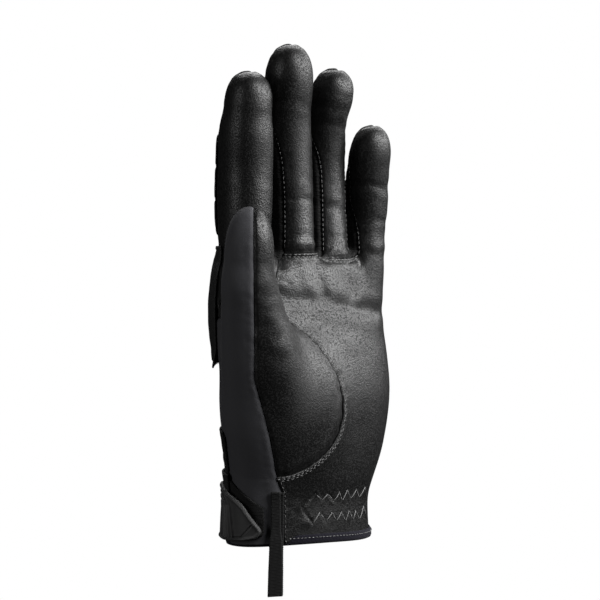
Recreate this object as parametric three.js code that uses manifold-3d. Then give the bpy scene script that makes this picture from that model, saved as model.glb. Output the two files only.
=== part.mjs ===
// A tactical glove for the left hand, in the form that it has when worn.
//
// Millimetres, +Z along the fingers, palm towards -Y, back of the hand towards +Y, thumb towards -X.
// The origin is the centre of the wrist opening.
//
// The glove is a hollow shell: superelliptic sections are lofted into a palm, four fingers, a thumb and the
// ball of the thumb, these are joined, and the same shape inset by the leather's thickness is taken out.
// The shell is then divided into its sewn panels. A panel is cut out either by a wedge that runs along a
// finger between two seam angles, or by an outline drawn on the sketch plane and pushed through the wall.
// Guard, pads, strap, tab and binding are layers that lie on the shell, each lifted off the one below.

import * as THREE from "three";
import { mergeVertices } from "three/addons/utils/BufferGeometryUtils.js";
import Module from "manifold-3d";

const wasm = await Module();
wasm.setup();

// Thicknesses and gaps
const WALL = 1.5;
const GAP = 0.3;
const CUFF_EDGE = 0.6;

// Sections
const ROUNDNESS = 2.25;
const FINGER_SIDES = 14;
const THUMB_SIDES = 16;
const PALM_SIDES = 24;
const MOUND_SIDES = 14;
const MOUND_RINGS = 6;
const TIP_RINGS = 3;
const TIP_FULLNESS = 1.05;
const TIP_FLAT = 0.35;

// How far the wedges that cut the shell reach past its ends and its surface
const PAST_FOOT = 14;
const PAST_TIP = 21;
const PAST_SURFACE = 4;
const PAST_CLOTH = 1.4;
const PAST_PALM = 20;

// Steps round a wedge's rim, and points that are nearer than this become one
const SPOKES = 8;
const SAME_POINT = 1e-4;

// How far the solids that are subtracted from one another reach below the cuff
const OUTER_BELOW = 4;
const INNER_BELOW = 8;

// A box that the whole glove lies in
const ALL = { aside: 150, low: -100, high: 300 };

// The sketch plane of the palm-side seams is turned about Z towards the thumb
const SKETCH_TURN = THREE.MathUtils.degToRad(36);

const table = (columns, rows) =>
  rows.map((row) => Object.fromEntries(columns.map((column, i) => [column, row[i]])));

// Sections of the palm and the digits: centre, half width across, half depth from palm to back
const SECTION = ["x", "y", "z", "wide", "deep"];

const PALM = table(SECTION, [
  [-0.5, 0, CUFF_EDGE, 36.5, 25.5],
  [-0.5, 0, 10, 36, 25],
  [0, 0, 20, 36, 24.5],
  [0.7, -0.5, 32, 39.5, 25.5],
  [1.6, -1, 48, 44, 26],
  [2, -1.5, 66, 46.8, 24.5],
  [2, -0.5, 84, 46.6, 22],
  [0.5, 0.5, 102, 46.5, 19],
  [1, 1, 118, 46.5, 16.5],
  [1.5, 1, 128, 45.5, 14],
  [1.5, 0.5, 134, 42.5, 10.5],
]);

const INDEX = table(SECTION, [
  [-30.5, 1.5, 112, 11.5, 12.5],
  [-31, 1.5, 134.5, 11.4, 12.8],
  [-31.3, 1, 157.5, 11.8, 14],
  [-32.1, -1, 178.5, 12, 13.6],
  [-33.8, -4, 192.5, 11.7, 13],
  [-35, -6.5, 203, 10.9, 11.6],
  [-35.7, -8.3, 209.5, 9.3, 10],
]);

const MIDDLE = table(SECTION, [
  [-5, 0, 112, 10, 11.5],
  [-5.5, 0, 132.5, 10.2, 11.5],
  [-5.7, 0, 160, 10.1, 11.2],
  [-7.8, -1.5, 183.5, 10.5, 11],
  [-10.5, -4, 200, 10.9, 11],
  [-13, -7.5, 213.5, 11.2, 11.2],
  [-14.8, -10.3, 222.5, 9.9, 9.9],
]);

const RING = table(SECTION, [
  [16, 2, 112, 10, 11],
  [16, 2, 129.5, 10, 10.6],
  [16, 2, 157, 9.7, 10.2],
  [14.5, 0, 183.5, 9.5, 9.8],
  [12.3, -4, 198, 9.8, 9.6],
  [11.6, -8, 208, 10.2, 10],
  [11.5, -11, 214, 8.6, 9],
]);

const LITTLE = table(SECTION, [
  [35, -2.5, 108, 8.5, 9.8],
  [36.3, -3.5, 123, 9, 9.4],
  [36.5, -4, 140, 9, 9.3],
  [36.5, -5, 157, 9.8, 10],
  [35, -7, 169, 10.2, 10],
  [33.2, -10.3, 179, 10, 9.6],
  [32, -13, 186, 8.8, 8.6],
]);

const THUMB = table(SECTION, [
  [-26, -9, 34, 14, 15],
  [-28, -12, 56, 20.5, 18.5],
  [-32, -16, 77, 20, 18.5],
  [-37, -19, 92.5, 18, 17],
  [-41.5, -21.5, 105, 15.5, 15],
  [-45, -24, 115.5, 13.6, 13.5],
  [-47.5, -26, 124, 12.4, 12.6],
  [-48.8, -28, 135, 11.2, 11.4],
  [-49.3, -30, 147.5, 9.6, 9.8],
]);

// The thumb's sections are turned, so that its width runs partly from the palm to the back
const ACROSS_HAND = new THREE.Vector3(1, 0, 0);
const ACROSS_THUMB = new THREE.Vector3(0.75, -0.66, 0);

// The ball of the thumb: an ellipsoid that swells out of the palm
const MOUND = { centre: new THREE.Vector3(-15, -14, 62), radii: new THREE.Vector3(27, 18, 37) };

// Seams along a finger, in degrees round its section from the middle of the palm side.
// The cloth side between two fingers lies between the front seam and the back seam and narrows to the tip.
const SEAM_ANGLES = ["front", "back"];
const FINGER_SEAMS = table(SEAM_ANGLES, [
  [41, 126],
  [41, 126],
  [41, 124],
  [43, 120],
  [52, 112],
  [64, 102],
  [74, 92],
]);
const OUTER_WRAP = 126;

// The palm's leather wraps round the outer edge of the hand by these angles, one for each of its sections.
// On the thumb's side it ends at the thumb's own panels.
const PALM_WRAP = [118, 118, 118, 118, 118, 118, 118, 112, 100, 96, 94];
const PALM_THUMB_EDGE = -75;
const PALM_TOP = 139;

// Heights of the feet of the fingers' panels, how far below the tips the cloth sides end, and the thumb's web
const MIDDLE_FOOT = 135;
const RING_FOOT = 132;
const LITTLE_FOOT = 118;
const BACK_FOOT = 136;
const CROTCH = 133;
const BELOW_TIPS = 4;
const WEB = 105;
const WEB_OVERLAP = 4;
const SADDLE = { low: 130, high: 143, palmward: -7, backward: 9 };

// Depths on the sketch plane's normal: of the back seam of the thumb panel, and of the thumb behind its web
const PANEL_BACK_DEPTH = 2;
const GUSSET_BACK_DEPTH = 5;
const THUMB_BACK_DEPTH = 15;
const LIMB_CLEARANCE = 0.4;
const NEAR_DEPTH = 90;
const TIP_HEIGHT = 175;
const BELOW_CUFF = -8;
const THUMB_SIDE = -75;

// The seam down the thumb's ridge, on the sketch plane, from the web to the cuff
const ON_PLANE = ["across", "up"];
const RIDGE_SEAM = table(ON_PLANE, [
  [-20.6, WEB],
  [-20.8, 79],
  [-18.2, 69.4],
  [-15.7, 59.5],
  [-13.8, 51],
  [-12.3, 42],
  [-10.7, 32.4],
]);
const RIDGE_FOOT = table(ON_PLANE, [
  [-7.9, 24.5],
  [-7.6, BELOW_CUFF],
]);

// The oval seam round the ball of the thumb, from the foot of the ridge up to the web
const GUSSET_SEAM = table(ON_PLANE, [
  [-4.2, 33.2],
  [2.8, 35.4],
  [10.3, 40.3],
  [15.5, 45.6],
  [18.6, 51.8],
  [20.4, 59],
  [20.6, 67],
  [18.4, 77.3],
  [14.1, 85.2],
  [8.9, 92.6],
  [3.3, 98],
  [-5.5, WEB],
]);

// Layers on the shell: how far each starts and ends above the leather
const LAYER = ["from", "to"];
const [BINDING, CLOSURE, STRAP, TAB, PAD, GUARD_EDGE] = table(LAYER, [
  [GAP, 1.1],
  [GAP, 1.1],
  [1.4, 2.4],
  [2.7, 4.3],
  [GAP, 1.5],
  [GAP, 1.6],
]);
const BINDING_TOP = 4.4;
const BINDING_BOTTOM = -0.5;
const BINDING_INSET = 1.1;

// The guard swells over the knuckles: extra height of its middle, and the height along the hand where it is
const GUARD_SWELL = 2.6;
const GUARD_MIDDLE = 108;
const GUARD_HALF_LENGTH = 33;
const GUARD_SIDE_Y = 3;
const GUARD_FAR_Y = 60;

// The guard's outline seen from the back
const ON_BACK = ["x", "z"];
const GUARD_TOP = table(ON_BACK, [
  [-60, 141],
  [-28, 137],
  [-6, 132],
  [16, 129],
  [36, 121],
]);
const GUARD_BOTTOM = table(ON_BACK, [
  [38, 98],
  [16, 90],
  [-10, 88],
  [-34, 84],
  [-60, 78],
]);

// Pads on the finger backs: seam angle of their sides and the stretch of finger that they cover
const PAD_EDGE = 130;
const PADS = table(["name", "sections", "low", "high"], [
  ["index_pad", INDEX, 143, 191],
  ["middle_pad", MIDDLE, 146, 200],
  ["ring_pad", RING, 144, 194],
  ["little_pad", LITTLE, 136, 170],
]);

// Wrist closure: loop cloth and tab are drawn on the sketch plane, the strap runs round the wrist by angle
const CLOSURE_OUTLINE = table(ON_PLANE, [
  [THUMB_SIDE, 5.2],
  [-17.7, 5.2],
  [-17.7, 15],
  [-26, 24],
  [-32, 33],
  [-35.5, 44],
  [-36.5, 54],
  [THUMB_SIDE, 54],
]);
const CLOSURE_BACK_DEPTH = -6;
const STRAP_BAND = { low: 1.6, high: 31, from: 124, to: 282 };
const TAB_OUTLINE = table(ON_PLANE, [
  [THUMB_SIDE, 1.4],
  [-20.7, 2.4],
  [-18.6, 6.5],
  [-27.3, 20],
  [-32.6, 24.4],
  [-35.2, 28],
  [THUMB_SIDE, 28],
]);
const TAB_BACK_DEPTH = -3;

// Pull loop: folded webbing, flat to the sketch plane, sewn on the palm side and hanging below the cuff.
// Its route is the outer face's depth on the plane's normal at each height.
const LOOP = { from: -14.6, to: -7.6, thick: 2 };
const LOOP_ROUTE = table(["depth", "up"], [
  [33.4, 25.5],
  [33.6, 8],
  [34.9, 5.2],
  [34.9, -23.5],
]);

// Frames of a digit's sections: its path direction, the side towards the little finger and the palm side
function frames(sections, side) {
  const centres = sections.map((row) => new THREE.Vector3(row.x, row.y, row.z));
  return centres.map((centre, i) => {
    const before = centres[Math.max(i - 1, 0)];
    const after = centres[Math.min(i + 1, centres.length - 1)];
    const ahead = after.clone().sub(before).normalize();
    const across = side.clone().addScaledVector(ahead, -side.dot(ahead)).normalize();
    const palmward = across.clone().cross(ahead);
    return { centre, ahead, across, palmward };
  });
}

const powered = (value) => Math.sign(value) * Math.abs(value) ** (2 / ROUNDNESS);

function ring({ centre, across, palmward }, wide, deep, sides) {
  return Array.from({ length: sides }, (_, i) => {
    const turn = (2 * Math.PI * i) / sides;
    return centre
      .clone()
      .addScaledVector(across, wide * powered(Math.sin(turn)))
      .addScaledVector(palmward, deep * powered(Math.cos(turn)));
  });
}

// A closed solid through rings of equally many points, with flat ends
function loft(rings) {
  const sides = rings[0].length;
  const points = rings.flat();
  const triangles = [];
  for (let r = 0; r < rings.length - 1; r += 1) {
    for (let i = 0; i < sides; i += 1) {
      const next = (i + 1) % sides;
      const [a, b] = [r * sides + i, r * sides + next];
      triangles.push(a, b, b + sides, a, b + sides, a + sides);
    }
  }
  const centroid = (some) => some.reduce((sum, p) => sum.add(p), new THREE.Vector3()).divideScalar(sides);
  const first = points.push(centroid(rings[0])) - 1;
  const last = points.push(centroid(rings.at(-1))) - 1;
  const end = (rings.length - 1) * sides;
  for (let i = 0; i < sides; i += 1) {
    const next = (i + 1) % sides;
    triangles.push(first, next, i, last, end + i, end + next);
  }
  return solid(points.flatMap((p) => p.toArray()), triangles);
}

function solid(vertices, triangles) {
  const vertProperties = new Float32Array(vertices);
  const build = (order) =>
    new wasm.Manifold(new wasm.Mesh({ numProp: 3, vertProperties, triVerts: new Uint32Array(order) }));
  const made = build(triangles);
  return made.volume() > 0 ? made : build(triangles.toReversed());
}

const liftAt = (lift, z) => (typeof lift === "function" ? lift(z) : lift);

// A digit or the palm as a solid, lifted off its sections by a thickness, which may change with height
function limb(sections, side, sides, { lift = 0, tip = true, below = 0 } = {}) {
  const places = frames(sections, side);
  const rings = places.map((place, i) => {
    const by = liftAt(lift, sections[i].z);
    return ring(place, sections[i].wide + by, sections[i].deep + by, sides);
  });
  if (below > 0) {
    rings.unshift(rings[0].map((point) => point.clone().addScaledVector(places[0].ahead, -below)));
  }
  const place = places.at(-1);
  const end = sections.at(-1);
  const wide = end.wide + liftAt(lift, end.z);
  const deep = end.deep + liftAt(lift, end.z);
  if (!tip) {
    rings.push(rings.pop().map((point) => point.addScaledVector(place.ahead, liftAt(lift, end.z))));
    return loft(rings);
  }
  const height = ((wide + deep) / 2) * TIP_FULLNESS;
  for (let k = 1; k <= TIP_RINGS; k += 1) {
    const rise = (Math.PI / 2) * (k / (TIP_RINGS + TIP_FLAT));
    const centre = place.centre.clone().addScaledVector(place.ahead, height * Math.sin(rise));
    const shrink = Math.cos(rise);
    rings.push(ring({ ...place, centre }, wide * shrink, deep * shrink, sides));
  }
  return loft(rings);
}

function ellipsoid({ centre, radii }, lift) {
  const geometry = new THREE.SphereGeometry(1, MOUND_SIDES, MOUND_RINGS);
  geometry.rotateX(Math.PI / 2);
  const by = liftAt(lift, centre.z);
  geometry.scale(radii.x + by, radii.y + by, radii.z + by);
  geometry.translate(centre.x, centre.y, centre.z);
  return fromGeometry(geometry);
}

function fromGeometry(geometry) {
  geometry.deleteAttribute("normal");
  geometry.deleteAttribute("uv");
  const merged = mergeVertices(geometry, SAME_POINT);
  return solid(Array.from(merged.attributes.position.array), Array.from(merged.index.array));
}

const DIGITS = [INDEX, MIDDLE, RING, LITTLE];
const union = (solids) => solids.reduce((sum, next) => sum.add(next));

// The whole hand as one solid
function hand({ lift = 0, below = 0 } = {}) {
  return union([
    limb(PALM, ACROSS_HAND, PALM_SIDES, { lift, below, tip: false }),
    limb(THUMB, ACROSS_THUMB, THUMB_SIDES, { lift }),
    ellipsoid(MOUND, lift),
    ...DIGITS.map((digit) => limb(digit, ACROSS_HAND, FINGER_SIDES, { lift })),
  ]);
}

// A wedge along a digit between two angles in degrees, measured round the section from its palm side and
// positive towards the little finger. The angles may change from section to section.
function wedge(sections, from, to, { grow = 0, low = -Infinity, high = Infinity, past = PAST_SURFACE } = {}) {
  const places = frames(sections, ACROSS_HAND);
  const at = (angle, i) => THREE.MathUtils.degToRad(Array.isArray(angle) ? angle[i] : angle);
  const section = (place, i, along) => {
    const [start, end] = [at(from, i), at(to, i)];
    const half = (end - start) / 2;
    const shift = grow / Math.sin(half);
    const { wide, deep } = sections[i];
    const direction = (angle) =>
      new THREE.Vector3()
        .addScaledVector(place.across, Math.sin(angle))
        .addScaledVector(place.palmward, Math.cos(angle));
    const reach = (angle) =>
      ((Math.abs(Math.sin(angle)) / wide) ** ROUNDNESS + (Math.abs(Math.cos(angle)) / deep) ** ROUNDNESS) **
        (-1 / ROUNDNESS) +
      past +
      (shift + grow);
    const apex = place.centre
      .clone()
      .addScaledVector(place.ahead, along)
      .addScaledVector(direction(start + half), -shift);
    const rim = Array.from({ length: SPOKES + 1 }, (_, k) => {
      const angle = start + (2 * half * k) / SPOKES;
      return apex.clone().addScaledVector(direction(angle), reach(angle));
    });
    return [apex, ...rim];
  };
  const last = places.length - 1;
  const rings = places.map((place, i) => section(place, i, 0));
  rings.unshift(section(places[0], 0, -PAST_FOOT));
  rings.push(section(places[last], last, PAST_TIP));
  return slice(loft(rings), low - grow, high + grow);
}

// Keeps what lies between two heights
function slice(piece, low, high) {
  const floor = new THREE.Vector3(-ALL.aside, -ALL.aside, Math.max(low, ALL.low));
  const ceiling = new THREE.Vector3(ALL.aside, ALL.aside, Math.min(high, ALL.high));
  return piece.intersect(box(floor, ceiling));
}

function box(low, high) {
  const size = high.clone().sub(low);
  const middle = low.clone().add(high).multiplyScalar(0.5);
  const geometry = new THREE.BoxGeometry(size.x, size.y, size.z);
  geometry.translate(middle.x, middle.y, middle.z);
  return fromGeometry(geometry);
}

// Moves each corner of a closed outline outwards, so that its sides lie further out by a distance.
// A very sharp corner moves less, so that it isn't drawn out into a spike.
const SHARPEST_CORNER = 0.35;

function grown(points, distance) {
  const turnsLeft = THREE.ShapeUtils.area(points) > 0 ? 1 : -1;
  return points.map((point, i) => {
    const before = points.at(i - 1);
    const after = points[(i + 1) % points.length];
    const inward = point.clone().sub(before).normalize();
    const outward = after.clone().sub(point).normalize();
    const normal = new THREE.Vector2(inward.y + outward.y, -inward.x - outward.x).normalize();
    const stretch = Math.max(normal.x * outward.y - normal.y * outward.x, SHARPEST_CORNER);
    return point.clone().addScaledVector(normal, (turnsLeft * distance) / stretch);
  });
}

// An outline pushed along a plane's normal from one depth to another
function prism(points, near, far, axes, grow = 0) {
  const shape = new THREE.Shape(grown(points, grow));
  const geometry = new THREE.ExtrudeGeometry(shape, { depth: far - near + 2 * grow, bevelEnabled: false });
  geometry.translate(0, 0, near - grow);
  geometry.applyMatrix4(axes);
  return fromGeometry(geometry);
}

const SKETCH_PLANE = new THREE.Matrix4().makeBasis(
  new THREE.Vector3(Math.cos(SKETCH_TURN), -Math.sin(SKETCH_TURN), 0),
  new THREE.Vector3(0, 0, 1),
  new THREE.Vector3(-Math.sin(SKETCH_TURN), -Math.cos(SKETCH_TURN), 0),
);
const BACK_PLANE = new THREE.Matrix4().makeBasis(
  new THREE.Vector3(-1, 0, 0),
  new THREE.Vector3(0, 0, 1),
  new THREE.Vector3(0, 1, 0),
);

const onPlane = (rows) => rows.map((row) => new THREE.Vector2(row.across, row.up));

// Regions of the panels, each as a function of how much it is grown
const frontSeam = FINGER_SEAMS.map((row) => row.front);
const backSeam = FINGER_SEAMS.map((row) => row.back);
const mirrored = (angles) => angles.map((angle) => -angle);

// The thumb above its web, between two places across the sketch plane
function freeThumb(from, to, grow) {
  const low = WEB - WEB_OVERLAP;
  const corners = [
    new THREE.Vector2(from, low),
    new THREE.Vector2(to, low),
    new THREE.Vector2(to, TIP_HEIGHT),
    new THREE.Vector2(from, TIP_HEIGHT),
  ];
  const thumb = limb(THUMB, ACROSS_THUMB, THUMB_SIDES, { lift: LIMB_CLEARANCE + grow });
  return prism(corners, THUMB_BACK_DEPTH, NEAR_DEPTH, SKETCH_PLANE, grow).intersect(thumb);
}

function thumbFrontRegion(grow) {
  const gusset = onPlane([...RIDGE_SEAM, ...GUSSET_SEAM]);
  return prism(gusset, GUSSET_BACK_DEPTH, NEAR_DEPTH, SKETCH_PLANE, grow).add(
    freeThumb(RIDGE_SEAM[0].across, -THUMB_SIDE, grow),
  );
}

function thumbBackRegion(grow) {
  const corner = (up) => new THREE.Vector2(THUMB_SIDE, up);
  const panel = [corner(WEB), ...onPlane([...RIDGE_SEAM, ...RIDGE_FOOT]), corner(BELOW_CUFF)];
  return prism(panel, PANEL_BACK_DEPTH, NEAR_DEPTH, SKETCH_PLANE, grow).add(
    freeThumb(THUMB_SIDE, RIDGE_SEAM[0].across, grow),
  );
}

const indexFrontRegion = (grow) => wedge(INDEX, -OUTER_WRAP, frontSeam, { grow, low: WEB });
const middleFrontRegion = (grow) => frontRegion(MIDDLE, MIDDLE_FOOT, grow);
const ringFrontRegion = (grow) => frontRegion(RING, RING_FOOT, grow);

function frontRegion(sections, low, grow) {
  return wedge(sections, mirrored(frontSeam), frontSeam, { grow, low, past: PAST_CLOTH });
}

// The cloth between two fingers: up the side of one, across the saddle and up the side of the other
function fourchetteRegion(thumbSide, littleSide, grow) {
  const high = Math.min(thumbSide.at(-1).z, littleSide.at(-1).z) - BELOW_TIPS;
  const cloth = { grow, low: CROTCH, high, past: PAST_CLOTH };
  const saddle = box(
    new THREE.Vector3(thumbSide[1].x - grow, SADDLE.palmward - grow, SADDLE.low - grow),
    new THREE.Vector3(littleSide[1].x + grow, SADDLE.backward + grow, SADDLE.high + grow),
  );
  return union([
    wedge(thumbSide, frontSeam, backSeam, cloth),
    wedge(littleSide, mirrored(backSeam), mirrored(frontSeam), cloth),
    saddle,
  ]);
}

function palmRegion(grow) {
  const palm = wedge(PALM, PALM_THUMB_EDGE, PALM_WRAP, { grow, high: PALM_TOP, past: PAST_PALM });
  return palm.add(wedge(LITTLE, mirrored(frontSeam), OUTER_WRAP, { grow, low: LITTLE_FOOT }));
}

// What is left of a finger once its front and its sides are cut out
function fingerBackRegion(sections, grow) {
  const finger = limb(sections, ACROSS_HAND, FINGER_SIDES, { lift: LIMB_CLEARANCE + grow });
  return slice(finger, BACK_FOOT - grow, ALL.high);
}

// Divides the shell into its panels in this order; what is left over is the back of the hand
const PANELS = [
  ["thumb_front", thumbFrontRegion],
  ["thumb_back", thumbBackRegion],
  ["index_front", indexFrontRegion],
  ["middle_front", middleFrontRegion],
  ["ring_front", ringFrontRegion],
  ["fourchette_index_middle", (grow) => fourchetteRegion(INDEX, MIDDLE, grow)],
  ["fourchette_middle_ring", (grow) => fourchetteRegion(MIDDLE, RING, grow)],
  ["fourchette_ring_little", (grow) => fourchetteRegion(RING, LITTLE, grow)],
  ["palm", palmRegion],
  ["index_back", (grow) => fingerBackRegion(INDEX, grow)],
  ["middle_back", (grow) => fingerBackRegion(MIDDLE, grow)],
  ["ring_back", (grow) => fingerBackRegion(RING, grow)],
  ["little_back", (grow) => fingerBackRegion(LITTLE, grow)],
];

const largest = (piece) => piece.decompose().reduce((a, b) => (a.volume() > b.volume() ? a : b));

function panels() {
  const cut = new Map();
  let rest = hand().subtract(hand({ lift: -WALL, below: INNER_BELOW }));
  for (const [name, region] of PANELS) {
    cut.set(name, largest(rest.intersect(region(0))));
    rest = rest.subtract(region(GAP));
  }
  cut.set("back", largest(rest));
  return cut;
}

// What lies between two lifts off the hand
const layer = ({ from, to }) =>
  hand({ lift: to, below: OUTER_BELOW }).subtract(hand({ lift: from, below: INNER_BELOW }));

// The same on the wrist alone
function wristLayer({ from, to }) {
  const wrist = (lift, below) => limb(PALM, ACROSS_HAND, PALM_SIDES, { lift, below, tip: false });
  return wrist(to, OUTER_BELOW).subtract(wrist(from, INNER_BELOW));
}

function cuffBinding() {
  const whole = wristLayer({ from: -WALL - BINDING_INSET, to: BINDING.to });
  const edge = wristLayer({ from: -WALL - GAP, to: BINDING.from });
  return slice(whole, BINDING_BOTTOM, BINDING_TOP).subtract(slice(edge, CUFF_EDGE - GAP, ALL.high));
}

function knuckleGuard() {
  const outline = [...GUARD_TOP, ...GUARD_BOTTOM].map((row) => new THREE.Vector2(-row.x, row.z));
  const region = prism(outline, GUARD_SIDE_Y, GUARD_FAR_Y, BACK_PLANE);
  const swell = (z) => {
    const off = (z - GUARD_MIDDLE) / GUARD_HALF_LENGTH;
    return GUARD_EDGE.to + GUARD_SWELL * Math.max(1 - off * off, 0);
  };
  return largest(layer({ from: GUARD_EDGE.from, to: swell }).intersect(region));
}

function fingerPad({ sections, low, high }) {
  const region = wedge(sections, PAD_EDGE, 360 - PAD_EDGE, { low, high });
  const lifted = (lift) => limb(sections, ACROSS_HAND, FINGER_SIDES, { lift });
  return lifted(PAD.to).subtract(lifted(PAD.from)).intersect(region);
}

function closurePanel() {
  const region = prism(onPlane(CLOSURE_OUTLINE), CLOSURE_BACK_DEPTH, NEAR_DEPTH, SKETCH_PLANE);
  return largest(layer(CLOSURE).intersect(region));
}

function wristStrap() {
  const { from, to, low, high } = STRAP_BAND;
  return largest(wristLayer(STRAP).intersect(wedge(PALM, from, to, { low, high })));
}

function strapTab() {
  const region = prism(onPlane(TAB_OUTLINE), TAB_BACK_DEPTH, NEAR_DEPTH, SKETCH_PLANE);
  return largest(wristLayer(TAB).intersect(region));
}

function pullLoop() {
  const outer = LOOP_ROUTE.map((row) => new THREE.Vector2(row.depth, row.up));
  const inner = outer.map((point) => new THREE.Vector2(point.x - LOOP.thick, point.y)).reverse();
  const geometry = new THREE.ExtrudeGeometry(new THREE.Shape([...outer, ...inner]), {
    depth: LOOP.to - LOOP.from,
    bevelEnabled: false,
  });
  geometry.translate(0, 0, -LOOP.to);
  const across = new THREE.Vector3().setFromMatrixColumn(SKETCH_PLANE, 0);
  const depth = new THREE.Vector3().setFromMatrixColumn(SKETCH_PLANE, 2);
  geometry.applyMatrix4(new THREE.Matrix4().makeBasis(depth, new THREE.Vector3(0, 0, 1), across.negate()));
  return fromGeometry(geometry);
}

// Materials
const leather = new THREE.MeshStandardMaterial({ color: 0x1b1b1c, roughness: 0.42, metalness: 0 });
const cloth = new THREE.MeshStandardMaterial({ color: 0x141415, roughness: 0.9, metalness: 0 });
const matteCloth = new THREE.MeshStandardMaterial({ color: 0x2a2a2c, roughness: 0.85, metalness: 0 });
const rubber = new THREE.MeshStandardMaterial({ color: 0x2c2d2f, roughness: 0.6, metalness: 0 });
const binding = new THREE.MeshStandardMaterial({ color: 0x101016, roughness: 0.8, metalness: 0 });

function mesh(name, piece, material) {
  const { vertProperties, triVerts } = piece.getMesh();
  const geometry = new THREE.BufferGeometry();
  geometry.setAttribute("position", new THREE.BufferAttribute(vertProperties, 3));
  geometry.setIndex(new THREE.BufferAttribute(triVerts, 1));
  geometry.computeVertexNormals();
  const made = new THREE.Mesh(geometry, material);
  made.name = name;
  return made;
}

const PANEL_MATERIALS = {
  thumb_front: leather,
  thumb_back: matteCloth,
  index_front: leather,
  middle_front: leather,
  ring_front: leather,
  fourchette_index_middle: cloth,
  fourchette_middle_ring: cloth,
  fourchette_ring_little: cloth,
  palm: leather,
  index_back: cloth,
  middle_back: cloth,
  ring_back: cloth,
  little_back: cloth,
  back: cloth,
};

const glove = new THREE.Group();
glove.name = "glove";
for (const [name, piece] of panels()) {
  glove.add(mesh(name, piece, PANEL_MATERIALS[name]));
}
for (const pad of PADS) {
  glove.add(mesh(pad.name, fingerPad(pad), cloth));
}
glove.add(
  mesh("knuckle_guard", knuckleGuard(), cloth),
  mesh("closure_panel", closurePanel(), cloth),
  mesh("wrist_strap", wristStrap(), cloth),
  mesh("strap_tab", strapTab(), rubber),
  mesh("cuff_binding", cuffBinding(), binding),
  mesh("pull_loop", pullLoop(), binding),
);

export default glove;
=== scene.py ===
import math

import bpy
import numpy as np
import openvdb
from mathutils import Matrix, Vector, kdtree


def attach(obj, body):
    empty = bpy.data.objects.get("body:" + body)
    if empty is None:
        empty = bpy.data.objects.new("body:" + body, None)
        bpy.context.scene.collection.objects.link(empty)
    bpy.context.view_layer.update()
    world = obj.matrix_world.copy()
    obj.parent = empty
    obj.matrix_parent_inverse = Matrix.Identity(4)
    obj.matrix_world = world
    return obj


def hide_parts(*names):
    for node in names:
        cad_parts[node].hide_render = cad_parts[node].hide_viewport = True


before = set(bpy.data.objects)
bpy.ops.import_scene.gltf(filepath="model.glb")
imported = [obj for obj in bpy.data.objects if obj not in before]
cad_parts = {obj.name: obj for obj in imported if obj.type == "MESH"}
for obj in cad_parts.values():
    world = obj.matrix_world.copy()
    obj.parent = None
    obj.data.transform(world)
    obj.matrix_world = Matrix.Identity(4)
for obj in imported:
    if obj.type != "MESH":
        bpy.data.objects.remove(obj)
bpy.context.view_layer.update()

# Lengths in this script are millimetres until a mesh is made. The glove stands fingers up, palm towards -Y
# and thumb towards -X, with the wrist opening at the origin.
MM = 0.001

# Sections of the palm, the fingers and the thumb: centre x, y, z, half width, half depth
PALM_ROWS = [
    (-0.5, 0, 0.6, 36.3, 25.3),
    (-0.5, 0, 10, 35.8, 24.8),
    (0, 0, 20, 35.8, 24.3),
    (0.7, -0.5, 32, 39.2, 25.2),
    (2.2, -1.4, 48, 43, 25),
    (3, -2.1, 66, 45.4, 23.4),
    (2.4, -0.9, 84, 45.8, 21.2),
    (0.5, 0.5, 102, 46.1, 18.7),
    (1, 1, 118, 46, 16.3),
    (1.5, 1, 128, 44.6, 14.1),
    (1.5, 0.5, 134, 41.5, 11.6),
]
INDEX_ROWS = [
    (-30.5, 1.5, 112, 11.2, 12.2),
    (-31, 1.5, 134.5, 11.2, 12.5),
    (-31.3, 1, 157.5, 11.7, 13.9),
    (-32.1, -1, 178.5, 11.9, 13.5),
    (-33.8, -4, 192.5, 11.6, 12.9),
    (-34.4, -6.5, 203, 10.6, 11.3),
]
MIDDLE_ROWS = [
    (-5, 0, 112, 9.7, 11.8),
    (-5.5, 0, 132.5, 10, 12.2),
    (-5.7, 0, 160, 10, 11.1),
    (-7.8, -1.5, 183.5, 10.4, 10.9),
    (-10.5, -4, 200, 10.8, 10.9),
    (-12, -7.5, 213.5, 11.0, 11.1),
]
RING_ROWS = [
    (16, 2, 112, 9.7, 10.7),
    (16, 1.2, 129.5, 9.8, 11.4),
    (16, 2, 157, 9.6, 10.1),
    (14.5, 0, 183.5, 9.4, 9.7),
    (12.3, -4, 198, 9.7, 9.5),
    (12.1, -8, 207.2, 10.1, 9.9),
]
LITTLE_ROWS = [
    (35, -2.5, 108, 8.2, 9.5),
    (36.3, -3.5, 123, 8.8, 9.1),
    (36.5, -4, 140, 8.9, 9.2),
    (36.5, -5, 157, 9.7, 9.9),
    (35, -7, 169, 10.1, 9.9),
    (33.8, -10.3, 178.8, 9.9, 9.5),
]
THUMB_ROWS = [
    (-26, -9, 34, 13.5, 14.5),
    (-28, -12, 56, 20, 18),
    (-32, -16, 77, 19.6, 18.1),
    (-37, -19, 92.5, 17.7, 16.7),
    (-41.5, -21.5, 105, 15.3, 14.8),
    (-45, -24, 115.5, 13.5, 13.4),
    (-47.7, -26.1, 124, 12.3, 12.5),
    (-48.7, -28, 135, 11.1, 11.3),
]
ROUNDNESS = 2.25
TIP_ROUNDNESS = 2.35
TIP_LENGTHS = {"index": 16.6, "middle": 19.4, "ring": 15.2, "little": 17.2, "thumb": 22.9}
ACROSS_HAND = (1, 0, 0)
ACROSS_THUMB = (0.75, -0.66, 0)
MOUND_CENTRE = np.array([-15, -14, 62.0])
MOUND_RADII = np.array([27, 18, 37.0])

# How softly the parts of the hand flow into one another
FINGER_BLEND = 2.0
KNUCKLE_BLEND = 4.5
THUMB_BLEND = 9.0
PALM_END_BLEND = 5.0

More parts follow.
